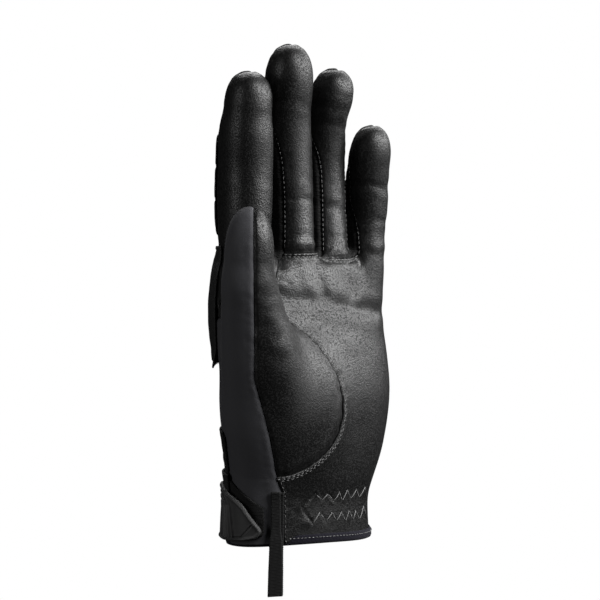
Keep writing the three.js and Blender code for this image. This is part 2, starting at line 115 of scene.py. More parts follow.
# Mesh of the surface
VOXEL = 1.0
BAND = 1.6
COARSE = 4
FAR = 20.0
LOCATE_ROUNDS = 4
GENTLEST_SLOPE = 0.4
LONGEST_MOVE = 1.5
CUFF_EDGE = 0.6
GLOVE_LOW = (-66, -50, -2.4)
GLOVE_HIGH = (54, 34, 238)


def unit(vectors):
    return vectors / np.maximum(np.linalg.norm(vectors, axis=-1, keepdims=True), 1e-9)


def bell(off, wide):
    """One at zero, falling away smoothly on both sides."""
    return np.exp(-(off / wide) ** 2)


def eased(share):
    """A share held between 0 and 1, with a soft start and end."""
    share = np.clip(share, 0, 1)
    return share * share * (3 - 2 * share)


def lengths_along(line):
    return np.concatenate([[0], np.cumsum(np.linalg.norm(np.diff(line, axis=0), axis=1))])


def read_table(at, along, table):
    """The columns of a table read at some distances, when each of its rows has its own distance."""
    return np.stack([np.interp(at, along, column) for column in table.T], axis=-1)


def through_rows(rows, step=1.0):
    """A fine table that runs smoothly through the rows of a coarse one, by distance along the centres."""
    rows = np.array(rows, float)
    along = lengths_along(rows[:, :3])
    gaps = np.diff(along)[:, None]
    slopes = np.diff(rows, axis=0) / gaps
    tangents = np.vstack([slopes[:1], (slopes[:-1] * gaps[1:] + slopes[1:] * gaps[:-1]) /
                          (gaps[1:] + gaps[:-1]), slopes[-1:]])
    tangents[-1, 3:] = 0
    fine = np.linspace(0, along[-1], int(along[-1] / step) + 2)
    at = np.clip(np.searchsorted(along, fine, side="right") - 1, 0, len(along) - 2)
    gap = (along[at + 1] - along[at])[:, None]
    t = (fine - along[at])[:, None] / gap
    values = ((1 + 2 * t) * (1 - t) ** 2 * rows[at] + t * (1 - t) ** 2 * gap * tangents[at]
              + t * t * (3 - 2 * t) * rows[at + 1] + t * t * (t - 1) * gap * tangents[at + 1])
    return fine, values


class Limb:
    """A bent superelliptic tube through sections, with rounded ends unless its ends are open."""

    def __init__(self, rows, side, tip=None):
        self.along, self.values = through_rows(rows)
        self.ahead = unit(np.gradient(self.values[:, :3], self.along, axis=0))
        side = np.array(side, float)
        self.across = unit(side - (self.ahead @ side)[:, None] * self.ahead)
        self.palmward = np.cross(self.across, self.ahead)
        self.tip = tip
        reach = max(self.values[:, 3:].max(), tip or 0) + FAR / 2
        self.low, self.high = self.values[:, :3].min(0) - reach, self.values[:, :3].max(0) + reach

    def read(self, table, at):
        return read_table(at, self.along, table)

    def locate(self, points):
        """For each point: distance along, then across, palmward and past the end, half width and depth."""
        t = np.interp(points[:, 2], self.values[:, 2], self.along)
        for _ in range(LOCATE_ROUNDS):
            step = np.sum((points - self.read(self.values[:, :3], t)) * self.read(self.ahead, t), axis=1)
            t = np.clip(t + step, 0, self.along[-1])
        row = self.read(self.values, t)
        off = points - row[:, :3]
        past, u, v = [np.sum(off * self.read(way, t), axis=1)
                      for way in (self.ahead, self.across, self.palmward)]
        return t, u, v, past, row[:, 3], row[:, 4]

    def distance(self, points):
        near = np.all((points > self.low) & (points < self.high), axis=1)
        away = np.full(len(points), FAR)
        away[near] = self.near_distance(points[near])
        return away

    def near_distance(self, points):
        t, u, v, past, wide, deep = self.locate(points)
        au, av = np.abs(u) / wide + 1e-6, np.abs(v) / deep + 1e-6
        q = (au ** ROUNDNESS + av ** ROUNDNESS) ** (1 / ROUNDNESS)
        slope = q ** (1 - ROUNDNESS) * np.hypot(au ** (ROUNDNESS - 1) / wide, av ** (ROUNDNESS - 1) / deep)
        if self.tip:
            end = np.maximum(past, 0) / self.tip
            q_end = (q ** TIP_ROUNDNESS + end ** TIP_ROUNDNESS) ** (1 / TIP_ROUNDNESS)
            slope = q_end ** (1 - TIP_ROUNDNESS) * np.hypot(q ** (TIP_ROUNDNESS - 1) * slope,
                                                            end ** (TIP_ROUNDNESS - 1) / self.tip)
            return (q_end - 1) / slope
        return soft_max((q - 1) / slope, past + t - self.along[-1], PALM_END_BLEND)

    def angle(self, points):
        """Degrees from the palm side, positive towards the little finger, then radius and distance along."""
        t, u, v, past, wide, deep = self.locate(points)
        return np.degrees(np.arctan2(u, v)), np.hypot(u, v), t


def soft_min(a, b, reach):
    share = np.maximum(reach - np.abs(a - b), 0) / reach
    return np.minimum(a, b) - share * share * reach / 4


def soft_max(a, b, reach):
    return -soft_min(-a, -b, reach)


PALM = Limb(PALM_ROWS, ACROSS_HAND)
INDEX = Limb(INDEX_ROWS, ACROSS_HAND, TIP_LENGTHS["index"])
MIDDLE = Limb(MIDDLE_ROWS, ACROSS_HAND, TIP_LENGTHS["middle"])
RING = Limb(RING_ROWS, ACROSS_HAND, TIP_LENGTHS["ring"])
LITTLE = Limb(LITTLE_ROWS, ACROSS_HAND, TIP_LENGTHS["little"])
THUMB = Limb(THUMB_ROWS, ACROSS_THUMB, TIP_LENGTHS["thumb"])
FINGERS = [INDEX, MIDDLE, RING, LITTLE]


def mound(points):
    scaled = (points - MOUND_CENTRE) / MOUND_RADII
    size = np.linalg.norm(scaled, axis=1) + 1e-6
    return (size - 1) * size / (np.linalg.norm(scaled / MOUND_RADII, axis=1) + 1e-6)


def glove_distance(points):
    """Distance outwards from the glove's smooth outer surface, nearly true close to it."""
    fingers = FINGERS[0].distance(points)
    for finger in FINGERS[1:]:
        fingers = soft_min(fingers, finger.distance(points), FINGER_BLEND)
    hand = soft_min(fingers, PALM.distance(points), KNUCKLE_BLEND)
    thumb = soft_min(THUMB.distance(points), mound(points), THUMB_BLEND)
    return soft_min(hand, thumb, THUMB_BLEND)


def in_blocks(work, points, size=60000):
    return np.concatenate([work(points[i:i + size]) for i in range(0, len(points), size)])


def slope_of(distance, points, step=0.35):
    """Outward unit normals of a distance, the distance itself and how fast it grows."""
    here = in_blocks(distance, points)
    ahead = [in_blocks(distance, points + step * axis) for axis in np.eye(3)]
    rise = np.stack(ahead, axis=-1) - here[:, None]
    return unit(rise), here, np.linalg.norm(rise, axis=1) / step


def normals_of(distance, points):
    return slope_of(distance, points)[0]


def onto(distance, points, rounds=2):
    """Points moved onto the zero of a distance, along its slope."""
    for _ in range(rounds):
        normal, here, steepness = slope_of(distance, points)
        move = np.clip(here / np.maximum(steepness, GENTLEST_SLOPE), -LONGEST_MOVE, LONGEST_MOVE)
        points = points - normal * move[:, None]
    return points


def surface_mesh(low, high, size=VOXEL):
    """Triangles on the glove's surface inside a box."""
    counts = [int((b - a) / size / COARSE) + 1 for a, b in zip(low, high)]
    axes = [a + size * np.arange(n * COARSE) for a, n in zip(low, counts)]
    grid = np.stack(np.meshgrid(*axes, indexing="ij"), axis=-1)
    middle = (COARSE - 1) // 2
    rough = in_blocks(glove_distance, grid[middle::COARSE, middle::COARSE, middle::COARSE].reshape(-1, 3))
    field = rough.reshape(counts)
    for axis in range(3):
        field = np.repeat(field, COARSE, axis=axis)
    near = np.abs(field) < BAND + size * COARSE
    field[near] = in_blocks(glove_distance, grid[near])
    volume = openvdb.FloatGrid(background=BAND)
    volume.copyFromArray(np.clip(field, -BAND, BAND).astype(np.float32))
    points, quads = volume.convertToQuads(0.0)
    points = points.astype(float) * size + np.array(low, float)
    quads = quads.astype(np.int64)
    top = np.array(low) + size * (np.array(counts) * COARSE - 1)
    corners = points[quads]
    quads = quads[np.all((corners > np.array(low) + size) & (corners < top - size), axis=(1, 2))]
    used, quads = np.unique(quads, return_inverse=True)
    points, quads = points[used], quads.reshape(-1, 4)
    shorter = (np.linalg.norm(points[quads[:, 0]] - points[quads[:, 2]], axis=1)
               < np.linalg.norm(points[quads[:, 1]] - points[quads[:, 3]], axis=1))
    one, other = quads[shorter], quads[~shorter]
    faces = np.vstack([one[:, [0, 1, 2]], one[:, [0, 2, 3]], other[:, [0, 1, 3]], other[:, [1, 2, 3]]])
    return onto(glove_distance, points), faces


# Noise

NOISE_SLOPES = unit(np.random.default_rng(7).normal(size=(4096, 3)))
NOISE_PRIMES = (73856093, 19349663, 83492791)
SEED_PRIME = 2654435761
NOISE_GAIN = 1.6


def noise(points, size, seed=0):
    """Smooth noise from about -1 to 1 whose bumps are about a size across."""
    scaled = points / size + 100.0
    cell = np.floor(scaled).astype(np.int64)
    part = scaled - cell
    ease = part * part * part * (part * (part * 6 - 15) + 10)
    total = np.zeros(len(points))
    for corner in np.ndindex(2, 2, 2):
        x, y, z = (cell + corner).T * np.array(NOISE_PRIMES)[:, None]
        mixed = x ^ y ^ z ^ (seed * SEED_PRIME)
        slope = NOISE_SLOPES[(mixed ^ (mixed >> 13)) % len(NOISE_SLOPES)]
        weight = np.prod(np.where(corner, ease, 1 - ease), axis=1)
        total += weight * np.sum(slope * (part - corner), axis=1)
    return total * NOISE_GAIN


# Cutting the surface into its panels

def directed_edges(faces):
    return np.vstack([faces[:, [0, 1]], faces[:, [1, 2]], faces[:, [2, 0]]])


def split_edges(points, faces, marks, pairs, new_points):
    """Splits each edge that is given as a sorted pair of points, in every face that has it."""
    size = len(points)
    edges = np.sort(np.stack([faces, np.roll(faces, -1, axis=1)], axis=-1), axis=-1)
    key = edges[..., 0] * size + edges[..., 1]
    wanted = pairs[:, 0] * size + pairs[:, 1]
    order = np.argsort(wanted)
    place = np.clip(np.searchsorted(wanted[order], key), 0, len(wanted) - 1)
    hit = wanted[order][place] == key
    middle = np.where(hit, size + order[place], -1)
    count = hit.sum(axis=1)

    def turned(rows, by):
        return [np.stack([np.roll(row, -k) for row, k in zip(table[rows], by)]) for table in (faces, middle)]

    made, kept = [faces[count == 0]], [marks[count == 0]]
    rows = np.flatnonzero(count == 1)
    if len(rows):
        f, m = turned(rows, np.argmax(hit[rows], axis=1))
        a, b, c, ab = f[:, 0], f[:, 1], f[:, 2], m[:, 0]
        made += [np.stack([a, ab, c], 1), np.stack([ab, b, c], 1)]
        kept += [marks[rows]] * 2
    rows = np.flatnonzero(count == 2)
    if len(rows):
        f, m = turned(rows, (np.argmin(hit[rows], axis=1) + 2) % 3)
        a, b, c, ab, ca = f[:, 0], f[:, 1], f[:, 2], m[:, 0], m[:, 2]
        everywhere = np.vstack([points, new_points])
        one = np.linalg.norm(everywhere[ab] - everywhere[c], axis=1)
        flip = (one > np.linalg.norm(everywhere[b] - everywhere[ca], axis=1))[:, None]
        made += [np.stack([a, ab, ca], 1),
                 np.where(flip, np.stack([ab, b, ca], 1), np.stack([ab, b, c], 1)),
                 np.where(flip, np.stack([b, c, ca], 1), np.stack([ab, c, ca], 1))]
        kept += [marks[rows]] * 3
    rows = np.flatnonzero(count == 3)
    if len(rows):
        (a, b, c), (ab, bc, ca) = faces[rows].T, middle[rows].T
        made += [np.stack(t, 1) for t in ((a, ab, ca), (ab, b, bc), (ca, bc, c), (ab, bc, ca))]
        kept += [marks[rows]] * 4
    return np.vstack([points, new_points]), np.vstack(made), np.concatenate(kept)


# Panels of the glove. Each is a field over the points of the surface, above zero inside the panel.

SKETCH_TURN = math.radians(36)
SKETCH_ACROSS = np.array([math.cos(SKETCH_TURN), -math.sin(SKETCH_TURN), 0])
SKETCH_OUT = np.array([-math.sin(SKETCH_TURN), -math.cos(SKETCH_TURN), 0])
UPWARDS = np.array([0, 0, 1.0])

# Seams on the sketch plane, turned towards the thumb: distance across and height
BELOW_CUFF = -8
RIDGE_SEAM = [(-20.6, 105), (-20.8, 79), (-18.2, 69.4), (-15.7, 59.5), (-13.8, 51), (-12.3, 42),
              (-10.7, 32.4)]
RIDGE_FOOT = [(-7.9, 24.5), (-7.6, BELOW_CUFF)]
GUSSET_SEAM = [(-4.2, 33.2), (2.8, 35.4), (10.3, 40.3), (15.5, 45.6), (18.6, 51.8), (20.4, 59), (20.6, 67),
               (18.4, 77.3), (14.1, 85.2), (8.9, 92.6), (3.3, 98), (-5.5, 105)]
THUMB_RIDGE = -20.6
THUMB_SIDE = -80
PANEL_BACK_DEPTH = 2
GUSSET_BACK_DEPTH = 5
THUMB_BACK_DEPTH = 15

# Heights of the panels' feet
WEB = 105
MIDDLE_FOOT = 135
RING_FOOT = 132
LITTLE_FOOT = 118
BACK_FOOT = 136
CROTCH = 133
PALM_TOP = 139
# The saddle of cloth between two fingers: lowest and highest, nearest the palm and nearest the back
SADDLE = (130, 143, -7, 9)
SADDLE_INSET = 5
ON_LIMB, INDEX_ON_LIMB, LITTLE_ON_LIMB = 3.0, 4.0, 5.0
PAST_MIDDLE = 1
INDEX_PAST_MIDDLE = 0.4
WEB_LAP = 4

# Seam angles from a finger's palm side, at shares of its length
FRONT_SEAM = ([0, 0.54, 0.65, 0.735, 0.8, 0.865, 0.93, 1], [46, 47, 50, 58, 71, 95, 122, 132])
MIDDLE_SEAM = ([0, 0.54, 0.65, 0.735, 0.8, 0.865, 0.93, 1], [55, 55, 57, 63, 74, 95, 122, 132])
LITTLE_SEAM = ([0, 0.385, 0.484, 0.62, 0.714, 0.82, 0.93, 1], [60, 61, 65, 82, 95, 112, 124, 132])
FAR_SEAM = ([0, 0.54, 0.735, 0.8, 0.865, 0.93, 1], [66, 67, 71, 78, 95, 122, 132])
RING_FAR_SEAM = ([0, 0.54, 0.735, 0.8, 0.865, 0.93, 1], [47, 48, 61, 71, 95, 122, 132])
BACK_SEAM = ([0, 0.455, 0.67, 0.845, 0.93, 1], [126, 126, 122, 120, 124, 132])
OUTER_WRAP = 126
PALM_WRAP = ([0, 100, 118, 128, 136], [118, 118, 104, 98, 95])
PALM_THUMB_EDGE = -75


def on_sketch(points):
    return np.stack([points @ SKETCH_ACROSS, points[:, 2]], axis=-1), points @ SKETCH_OUT


def off_line(flat, line):
    """Distance of flat points from an open line."""
    line = np.array(line, float)
    nearest = np.full(len(flat), 1e9)
    for a, b in zip(line[:-1], line[1:]):
        run = b - a
        share = np.clip((flat - a) @ run / (run @ run), 0, 1)
        nearest = np.minimum(nearest, np.linalg.norm(flat - a - share[:, None] * run, axis=1))
    return nearest


def inside_outline(flat, outline):
    """Distance of flat points inwards from a closed outline, below zero outside it."""
    closed = np.array([*outline, outline[0]], float)
    inside = np.zeros(len(flat), bool)
    for a, b in zip(closed[:-1], closed[1:]):
        if a[1] != b[1]:
            crosses = (a[1] > flat[:, 1]) != (b[1] > flat[:, 1])
            inside ^= crosses & (flat[:, 0] < a[0] + (flat[:, 1] - a[1]) * (b - a)[0] / (b - a)[1])
    nearest = off_line(flat, closed)
    return np.where(inside, nearest, -nearest)


def smallest(*fields):
    return np.minimum.reduce([np.broadcast_to(f, fields[0].shape) for f in fields])


def largest(*fields):
    return np.maximum.reduce(fields)


def at_share(seam, share):
    """The angle of a seam: the same all along, or from a table by the share of the length."""
    return np.interp(share, *seam) if isinstance(seam, tuple) else seam


def between_seams(limb, points, start, end):
    """Distance inwards from two seams along a limb."""
    angle, radius, along = limb.angle(points)
    share = along / limb.along[-1]
    return smallest(angle - at_share(start, share), at_share(end, share) - angle) * np.radians(radius)


def mirrored(seam):
    return (seam[0], [-angle for angle in seam[1]])


def ahead_of(limb, points, others):
    """Above zero where a limb is nearer than the others."""
    return (np.min([other.distance(points) for other in others], axis=0) - limb.distance(points)) / 2


def free_thumb(points, flat, depth):
    return smallest(flat[:, 1] - WEB + WEB_LAP, depth - THUMB_BACK_DEPTH,
                    ahead_of(THUMB, points, [PALM, INDEX, MIDDLE]))


def thumb_front_field(points):
    flat, depth = on_sketch(points)
    gusset = smallest(inside_outline(flat, RIDGE_SEAM + GUSSET_SEAM), depth - GUSSET_BACK_DEPTH)
    return largest(gusset, smallest(flat[:, 0] - THUMB_RIDGE, free_thumb(points, flat, depth)))


def thumb_back_field(points):
    flat, depth = on_sketch(points)
    outline = [(THUMB_SIDE, WEB)] + RIDGE_SEAM + RIDGE_FOOT + [(THUMB_SIDE, BELOW_CUFF)]
    panel = smallest(inside_outline(flat, outline), depth - PANEL_BACK_DEPTH)
    return largest(panel, smallest(THUMB_RIDGE - flat[:, 0], free_thumb(points, flat, depth)))


def index_front_field(points):
    return smallest(between_seams(INDEX, points, -OUTER_WRAP, FAR_SEAM), points[:, 2] - WEB,
                    INDEX_ON_LIMB - INDEX.distance(points),
                    ahead_of(INDEX, points, [MIDDLE]) + INDEX_PAST_MIDDLE)


def front_field(limb, foot, others, near_seam, far_seam):
    def field(points):
        return smallest(between_seams(limb, points, mirrored(near_seam), far_seam), points[:, 2] - foot,
                        ON_LIMB - limb.distance(points), ahead_of(limb, points, others))
    return field


def fourchette_field(thumb_side, little_side, thumb_front=FAR_SEAM, little_front=FRONT_SEAM):
    """The cloth up the side of one finger, across the saddle and up the side of the next."""
    left, right = (np.interp(SADDLE[0], limb.values[:, 2], limb.values[:, 0])
                   for limb in (thumb_side, little_side))
    left, right = left + SADDLE_INSET, right - SADDLE_INSET

    def field(points):
        z = points[:, 2]
        up_one = smallest(between_seams(thumb_side, points, thumb_front, BACK_SEAM),
                          ON_LIMB - thumb_side.distance(points),
                          ahead_of(thumb_side, points, [little_side]) + PAST_MIDDLE)
        up_other = smallest(between_seams(little_side, points, mirrored(BACK_SEAM), mirrored(little_front)),
                            ON_LIMB - little_side.distance(points),
                            ahead_of(little_side, points, [thumb_side]) + PAST_MIDDLE)
        sides = smallest(largest(up_one, up_other), z - CROTCH)
        saddle = smallest(points[:, 0] - left, right - points[:, 0], z - SADDLE[0], SADDLE[1] - z,
                          points[:, 1] - SADDLE[2], SADDLE[3] - points[:, 1])
        return largest(sides, saddle)
    return field


def palm_field(points):
    angle, radius, _ = PALM.angle(points)
    wrap = np.interp(points[:, 2], *PALM_WRAP)
    hand = smallest(smallest(angle - PALM_THUMB_EDGE, wrap - angle) * np.radians(radius),
                    PALM_TOP - points[:, 2])
    little = smallest(between_seams(LITTLE, points, mirrored(LITTLE_SEAM), OUTER_WRAP),
                      points[:, 2] - LITTLE_FOOT, ahead_of(LITTLE, points, [RING]) + PAST_MIDDLE,
                      LITTLE_ON_LIMB - LITTLE.distance(points))
    return largest(hand, little)


def finger_back_field(limb, others):
    def field(points):
        return smallest(points[:, 2] - BACK_FOOT, ahead_of(limb, points, others))
    return field


PANELS = [
    ("thumb_front", thumb_front_field),
    ("thumb_back", thumb_back_field),
    ("index_front", index_front_field),
    ("middle_front", front_field(MIDDLE, MIDDLE_FOOT, [INDEX, RING], MIDDLE_SEAM, FAR_SEAM)),
    ("ring_front", front_field(RING, RING_FOOT, [MIDDLE, LITTLE], FRONT_SEAM, RING_FAR_SEAM)),
    ("fourchette_index_middle", fourchette_field(INDEX, MIDDLE, FAR_SEAM, MIDDLE_SEAM)),
    ("fourchette_middle_ring", fourchette_field(MIDDLE, RING)),
    ("fourchette_ring_little", fourchette_field(RING, LITTLE, RING_FAR_SEAM, LITTLE_SEAM)),
    ("palm", palm_field),
    ("index_back", finger_back_field(INDEX, [MIDDLE, RING])),
    ("middle_back", finger_back_field(MIDDLE, [INDEX, RING])),
    ("ring_back", finger_back_field(RING, [MIDDLE, LITTLE])),
    ("little_back", finger_back_field(LITTLE, [RING, MIDDLE])),
]
BACK = len(PANELS)
NAMES = [name for name, field in PANELS] + ["back"]


def cut(points, faces, marks, field, mark, new_mark, snap=0.14):
    """Cuts the faces with a mark along a field's zero, and gives those inside it a new mark."""
    values = in_blocks(field, points)
    values[np.abs(values) < snap] = 0
    edges = np.unique(np.sort(directed_edges(faces[marks == mark]), axis=1), axis=0)
    a, b = values[edges[:, 0]], values[edges[:, 1]]
    edges = edges[a * b < 0]
    if len(edges):
        a, b = values[edges[:, 0]], values[edges[:, 1]]
        share = (a / (a - b))[:, None]
        fresh = onto(glove_distance, points[edges[:, 0]] * (1 - share) + points[edges[:, 1]] * share, 1)
        points, faces, marks = split_edges(points, faces, marks, edges, fresh)
        values = np.concatenate([values, np.zeros(len(fresh))])
    of_face = values[faces]
    most = np.take_along_axis(of_face, np.abs(of_face).argmax(axis=1)[:, None], axis=1)[:, 0]
    marks = np.where((marks == mark) & (most > 0), new_mark, marks)
    return points, faces, marks


def edge_owners(faces):
    """Each edge once as a sorted pair, with the one or two faces on it (the second is -1 on a border)."""
    edges = np.sort(directed_edges(faces), axis=1)
    owner = np.tile(np.arange(len(faces)), 3)
    order = np.lexsort((edges[:, 1], edges[:, 0]))
    edges, owner = edges[order], owner[order]
    first = np.concatenate([[True], np.any(edges[1:] != edges[:-1], axis=1)])
    start = np.flatnonzero(first)
    second = np.full(len(start), -1)
    has = np.diff(np.append(start, len(edges))) > 1
    second[has] = owner[start[has] + 1]
    return edges[start], owner[start], second


CRUMB_ROUNDS = 12


def join_crumbs(faces, marks, smallest_piece=60):
    """Gives each small island of faces the mark of what lies around it."""
    edges, one, other = edge_owners(faces)
    inner = other >= 0
    one, other = one[inner], other[inner]
    island = np.arange(len(faces))
    same = marks[one] == marks[other]
    a, b = one[same], other[same]
    while True:
        low = np.minimum(island[a], island[b])
        before = island.copy()
        np.minimum.at(island, a, low)
        np.minimum.at(island, b, low)
        island = island[island]
        if np.array_equal(before, island):
            break
    count = np.bincount(island, minlength=len(faces))
    crumb = count[island] < smallest_piece
    for _ in range(CRUMB_ROUNDS):
        give = crumb[one] ^ crumb[other]
        if not give.any():
            break
        to = np.where(crumb[one], one, other)[give]
        source = np.where(crumb[one], other, one)[give]
        marks[to] = marks[source]
        crumb[to] = False
    return marks


# Seams between the panels

EDGE = -1
SEAM_STEP = 0.5
REFINE_NEAR = 2.6
REFINE_ABOVE = 0.62


def seam_lines(faces, marks):
    """Ordered lines of points between two panels, as {(lower mark, higher mark): [indices, ...]}."""
    edges, one, other = edge_owners(faces)
    second = np.where(other >= 0, marks[other], EDGE)
    pairs = np.sort(np.stack([marks[one], second], axis=1), axis=1)
    lines = {}
    for pair in sorted(set(map(tuple, pairs[pairs[:, 0] != pairs[:, 1]].tolist()))):
        chosen = edges[(pairs[:, 0] == pair[0]) & (pairs[:, 1] == pair[1])]
        near = {}
        for a, b in chosen.tolist():
            near.setdefault(a, []).append(b)
            near.setdefault(b, []).append(a)
        unused = {tuple(sorted(e)) for e in chosen.tolist()}
        starts = [v for v, n in near.items() if len(n) != 2] + list(near)
        found = []
        for start in starts:
            for follow in near[start]:
                if tuple(sorted((start, follow))) not in unused:
                    continue
                line, here = [start], follow
                unused.discard(tuple(sorted((start, here))))
                while True:
                    line.append(here)
                    ahead = [v for v in near[here] if tuple(sorted((here, v))) in unused]
                    if len(near[here]) != 2 or not ahead:
                        break
                    unused.discard(tuple(sorted((here, ahead[0]))))
                    here = ahead[0]
                found.append(np.array(line))
        lines[pair] = found
    return lines


def straighten_seams(points, lines, rounds=6):
    points = points.copy()
    for _ in range(rounds):
        moved = points.copy()
        for pair, found in lines.items():
            for line in found:
                if len(line) > 2:
                    middle = (points[line[:-2]] + points[line[2:]]) / 2
                    moved[line[1:-1]] = (points[line[1:-1]] + middle) / 2
                if len(line) > 3 and line[0] == line[-1]:
                    moved[line[0]] = (points[line[0]] + (points[line[1]] + points[line[-2]]) / 2) / 2
        points = moved
    ends = np.unique(np.concatenate([line for found in lines.values() for line in found]))
    points[ends] = onto(glove_distance, points[ends], 1)
    return points


def resampled(line, step):
    """Evenly spaced points along a line, with the distance along it of each."""
    along = lengths_along(line)
    count = max(int(round(along[-1] / step)), 1)
    at = np.linspace(0, along[-1], count + 1)
    return read_table(at, along, line), at


class Nearest:
    """Distance from points to the nearest of some seam points, and which one it is."""

    def __init__(self, points):
        self.tree = kdtree.KDTree(len(points))
        for i, point in enumerate(points):
            self.tree.insert(point, i)
        self.tree.balance()

    def __call__(self, points):
        found = [self.tree.find(point) for point in points.tolist()]
        return np.array([f[2] for f in found]), np.array([f[1] for f in found])


def refine(points, faces, marks, lines, longest=REFINE_ABOVE):
    """Splits the long edges close to the seams, so that the folded edges are round."""
    seam_points = [resampled(points[line], SEAM_STEP)[0] for found in lines.values() for line in found]
    away, _ = Nearest(np.vstack(seam_points))(points)
    edges, one, other = edge_owners(faces)
    length = np.linalg.norm(points[edges[:, 0]] - points[edges[:, 1]], axis=1)
    close = (away[edges].max(axis=1) < REFINE_NEAR) & (length > longest)
    edges = edges[close]
    fresh = onto(glove_distance, (points[edges[:, 0]] + points[edges[:, 1]]) / 2, 1)
    return split_edges(points, faces, marks, edges, fresh)


# Panels that lie on top of their neighbour at a seam. All other seams are turned in, and the bases of the
# two middle fingers slope down to the palm's edge.
LAPPED_OVER = {("palm", "thumb_front"), ("palm", "thumb_back"), ("palm", "index_front")}
FINGER_BASES = {("palm", "middle_front"), ("palm", "ring_front")}

# Swells and grooves beside each kind of edge: height, distance from the seam and width
EDGE_SWELLS = {
    "over": [(-0.4, 0, 0.4), (-0.18, 1.0, 0.35), (-0.18, 2.1, 0.35)],
    "base": [(-0.5, 0, 0.3)],
    "under": [(-0.75, 0, 1.5), (0.35, 4.5, 2.4)],
    "turned": [(-0.8, 0, 0.85), (0.12, 2.4, 1.0)],
}
ROLL, ROLL_WIDTH, ROLL_START = 0.4, 3.6, 0.35
BASE_HEIGHTS = ([0, 2.3, 2.8], [0.32, -0.43, 0.1])
BASE_WIDTH = 6.5
THUMB_BACK_SHARE = 0.6
# The broad valley of the upper part of the thumb's seam: where it starts, how it deepens, and what it leaves
VALLEY_FROM, VALLEY_RISE = 62, 16
VALLEY_DEPTH, VALLEY_WIDTH, VALLEY_SMOOTHS = 0.7, 3.2, 0.85
SEAM_PUCKER, PUCKER_REACH, PUCKER_SIZE = 0.3, 3.5, 3.4


def edge_kind(name, other):
    """How a panel's edge lies beside its neighbour's."""
    if (name, other) in LAPPED_OVER:
        return "over"
    if (name, other) in FINGER_BASES:
        return "base"
    return "under" if (other, name) in LAPPED_OVER | FINGER_BASES else "turned"


def edge_shape(kind, away):
    """Height of a panel's surface by the distance from its seam."""
    height = sum(high * bell(away - off, wide) for high, off, wide in EDGE_SWELLS[kind])
    if kind == "over":
        height += ROLL * bell(away, ROLL_WIDTH) * (1 - bell(away, ROLL_START))
    if kind == "base":
        height += np.interp(away, *BASE_HEIGHTS) * bell(away, BASE_WIDTH)
    return height


class Panel:
    """One panel's own seams, so that its relief can be read anywhere on it."""

    def __init__(self, mark, points, lines):
        self.name = NAMES[mark]
        places, kinds = [], []
        for pair, found in lines.items():
            if mark not in pair:
                continue
            other = pair[0] if pair[1] == mark else pair[1]
            kind = "edge" if other == EDGE else edge_kind(self.name, NAMES[other])
            for line in found:
                even, _ = resampled(points[line], SEAM_STEP)
                places.append(even)
                kinds += [kind] * len(even)
        self.nearest = Nearest(np.vstack(places))
        self.kinds = np.array(kinds)

    def relief(self, points):
        away, which = self.nearest(points)
        kind = self.kinds[which]
        height = np.zeros(len(points))
        for name in EDGE_SWELLS:
            chosen = kind == name
            height[chosen] = edge_shape(name, away[chosen])
        if self.name == "thumb_back":
            height *= THUMB_BACK_SHARE
        if self.name in ("palm", "thumb_front"):
            valley = np.clip((points[:, 2] - VALLEY_FROM) / VALLEY_RISE, 0, 1)
            valley *= np.isin(kind, ["over", "under"])
            height *= 1 - VALLEY_SMOOTHS * valley
            height -= VALLEY_DEPTH * valley * bell(away, VALLEY_WIDTH)
        near = np.exp(-away / PUCKER_REACH) * (kind != "edge")
        height += SEAM_PUCKER * near * noise(points, PUCKER_SIZE, 3)
        return height + hand_relief(self.name, points)


# Creases in the palm on the sketch plane: a line of places, how wide it is and how deep
PALM_CREASES = [
    ([(-9, 115), (-2, 114), (6.1, 112.8), (14.2, 111.4), (24, 109.2), (36.3, 106)], 3.0, 0.7),
    ([(6.2, 131), (8.6, 123), (11.8, 115)], 2.4, 0.8),
    ([(21.2, 131), (23, 122), (25.4, 115)], 2.4, 0.75),
    ([(27.5, 133), (28.6, 128.6)], 1.8, 0.6),
    ([(-9.5, 124), (-5.5, 121.5)], 1.3, 0.12),
    ([(-8.5, 131), (-7.5, 127)], 1.2, 0.12),
    ([(38, 92), (30, 97), (22, 99)], 4.0, 0.2),
]
# Folds round the fingers: height, how wide, how deep (below zero stands out)
FINGER_FOLDS = {
    "index": [(206, 2.4, 0.25), (171, 3.4, 0.2), (165.5, 3.0, -0.1), (146, 3.4, 0.2)],
    "middle": [(204, 1.8, 0.3), (200.5, 2.2, -0.2), (165.5, 2.6, -0.3), (160.5, 1.8, 0.5),
               (142.5, 1.8, 0.35), (139.3, 1.6, -0.3)],
    "ring": [(209, 1.5, 0.25), (202, 1.6, 0.3), (198, 1.8, -0.3), (194.5, 1.4, 0.3), (160.5, 2.4, -0.35),
             (155.8, 1.8, 0.5), (141.5, 1.6, 0.35), (137.5, 1.8, -0.3)],
    "little": [(171, 2.2, -0.35), (166.5, 1.8, 0.5), (161.5, 2.4, -0.25), (149, 2.6, 0.75),
               (143.5, 1.8, 0.4), (137.5, 2.4, -0.5), (132.5, 1.8, 0.35)],
    "thumb": [(120, 2.6, 0.4), (125, 2.4, -0.25), (112, 2.2, 0.3)],
}
# Slanting pulls of the leather below the thumb, on the sketch plane
THUMB_PULLS = [
    ([(-20, 108), (-14, 104.5)], 2.2, 0.2),
    ([(-19.5, 103), (-10, 98.5)], 2.4, 0.2),
    ([(-17, 92), (-8, 88)], 3.0, 0.2),
]
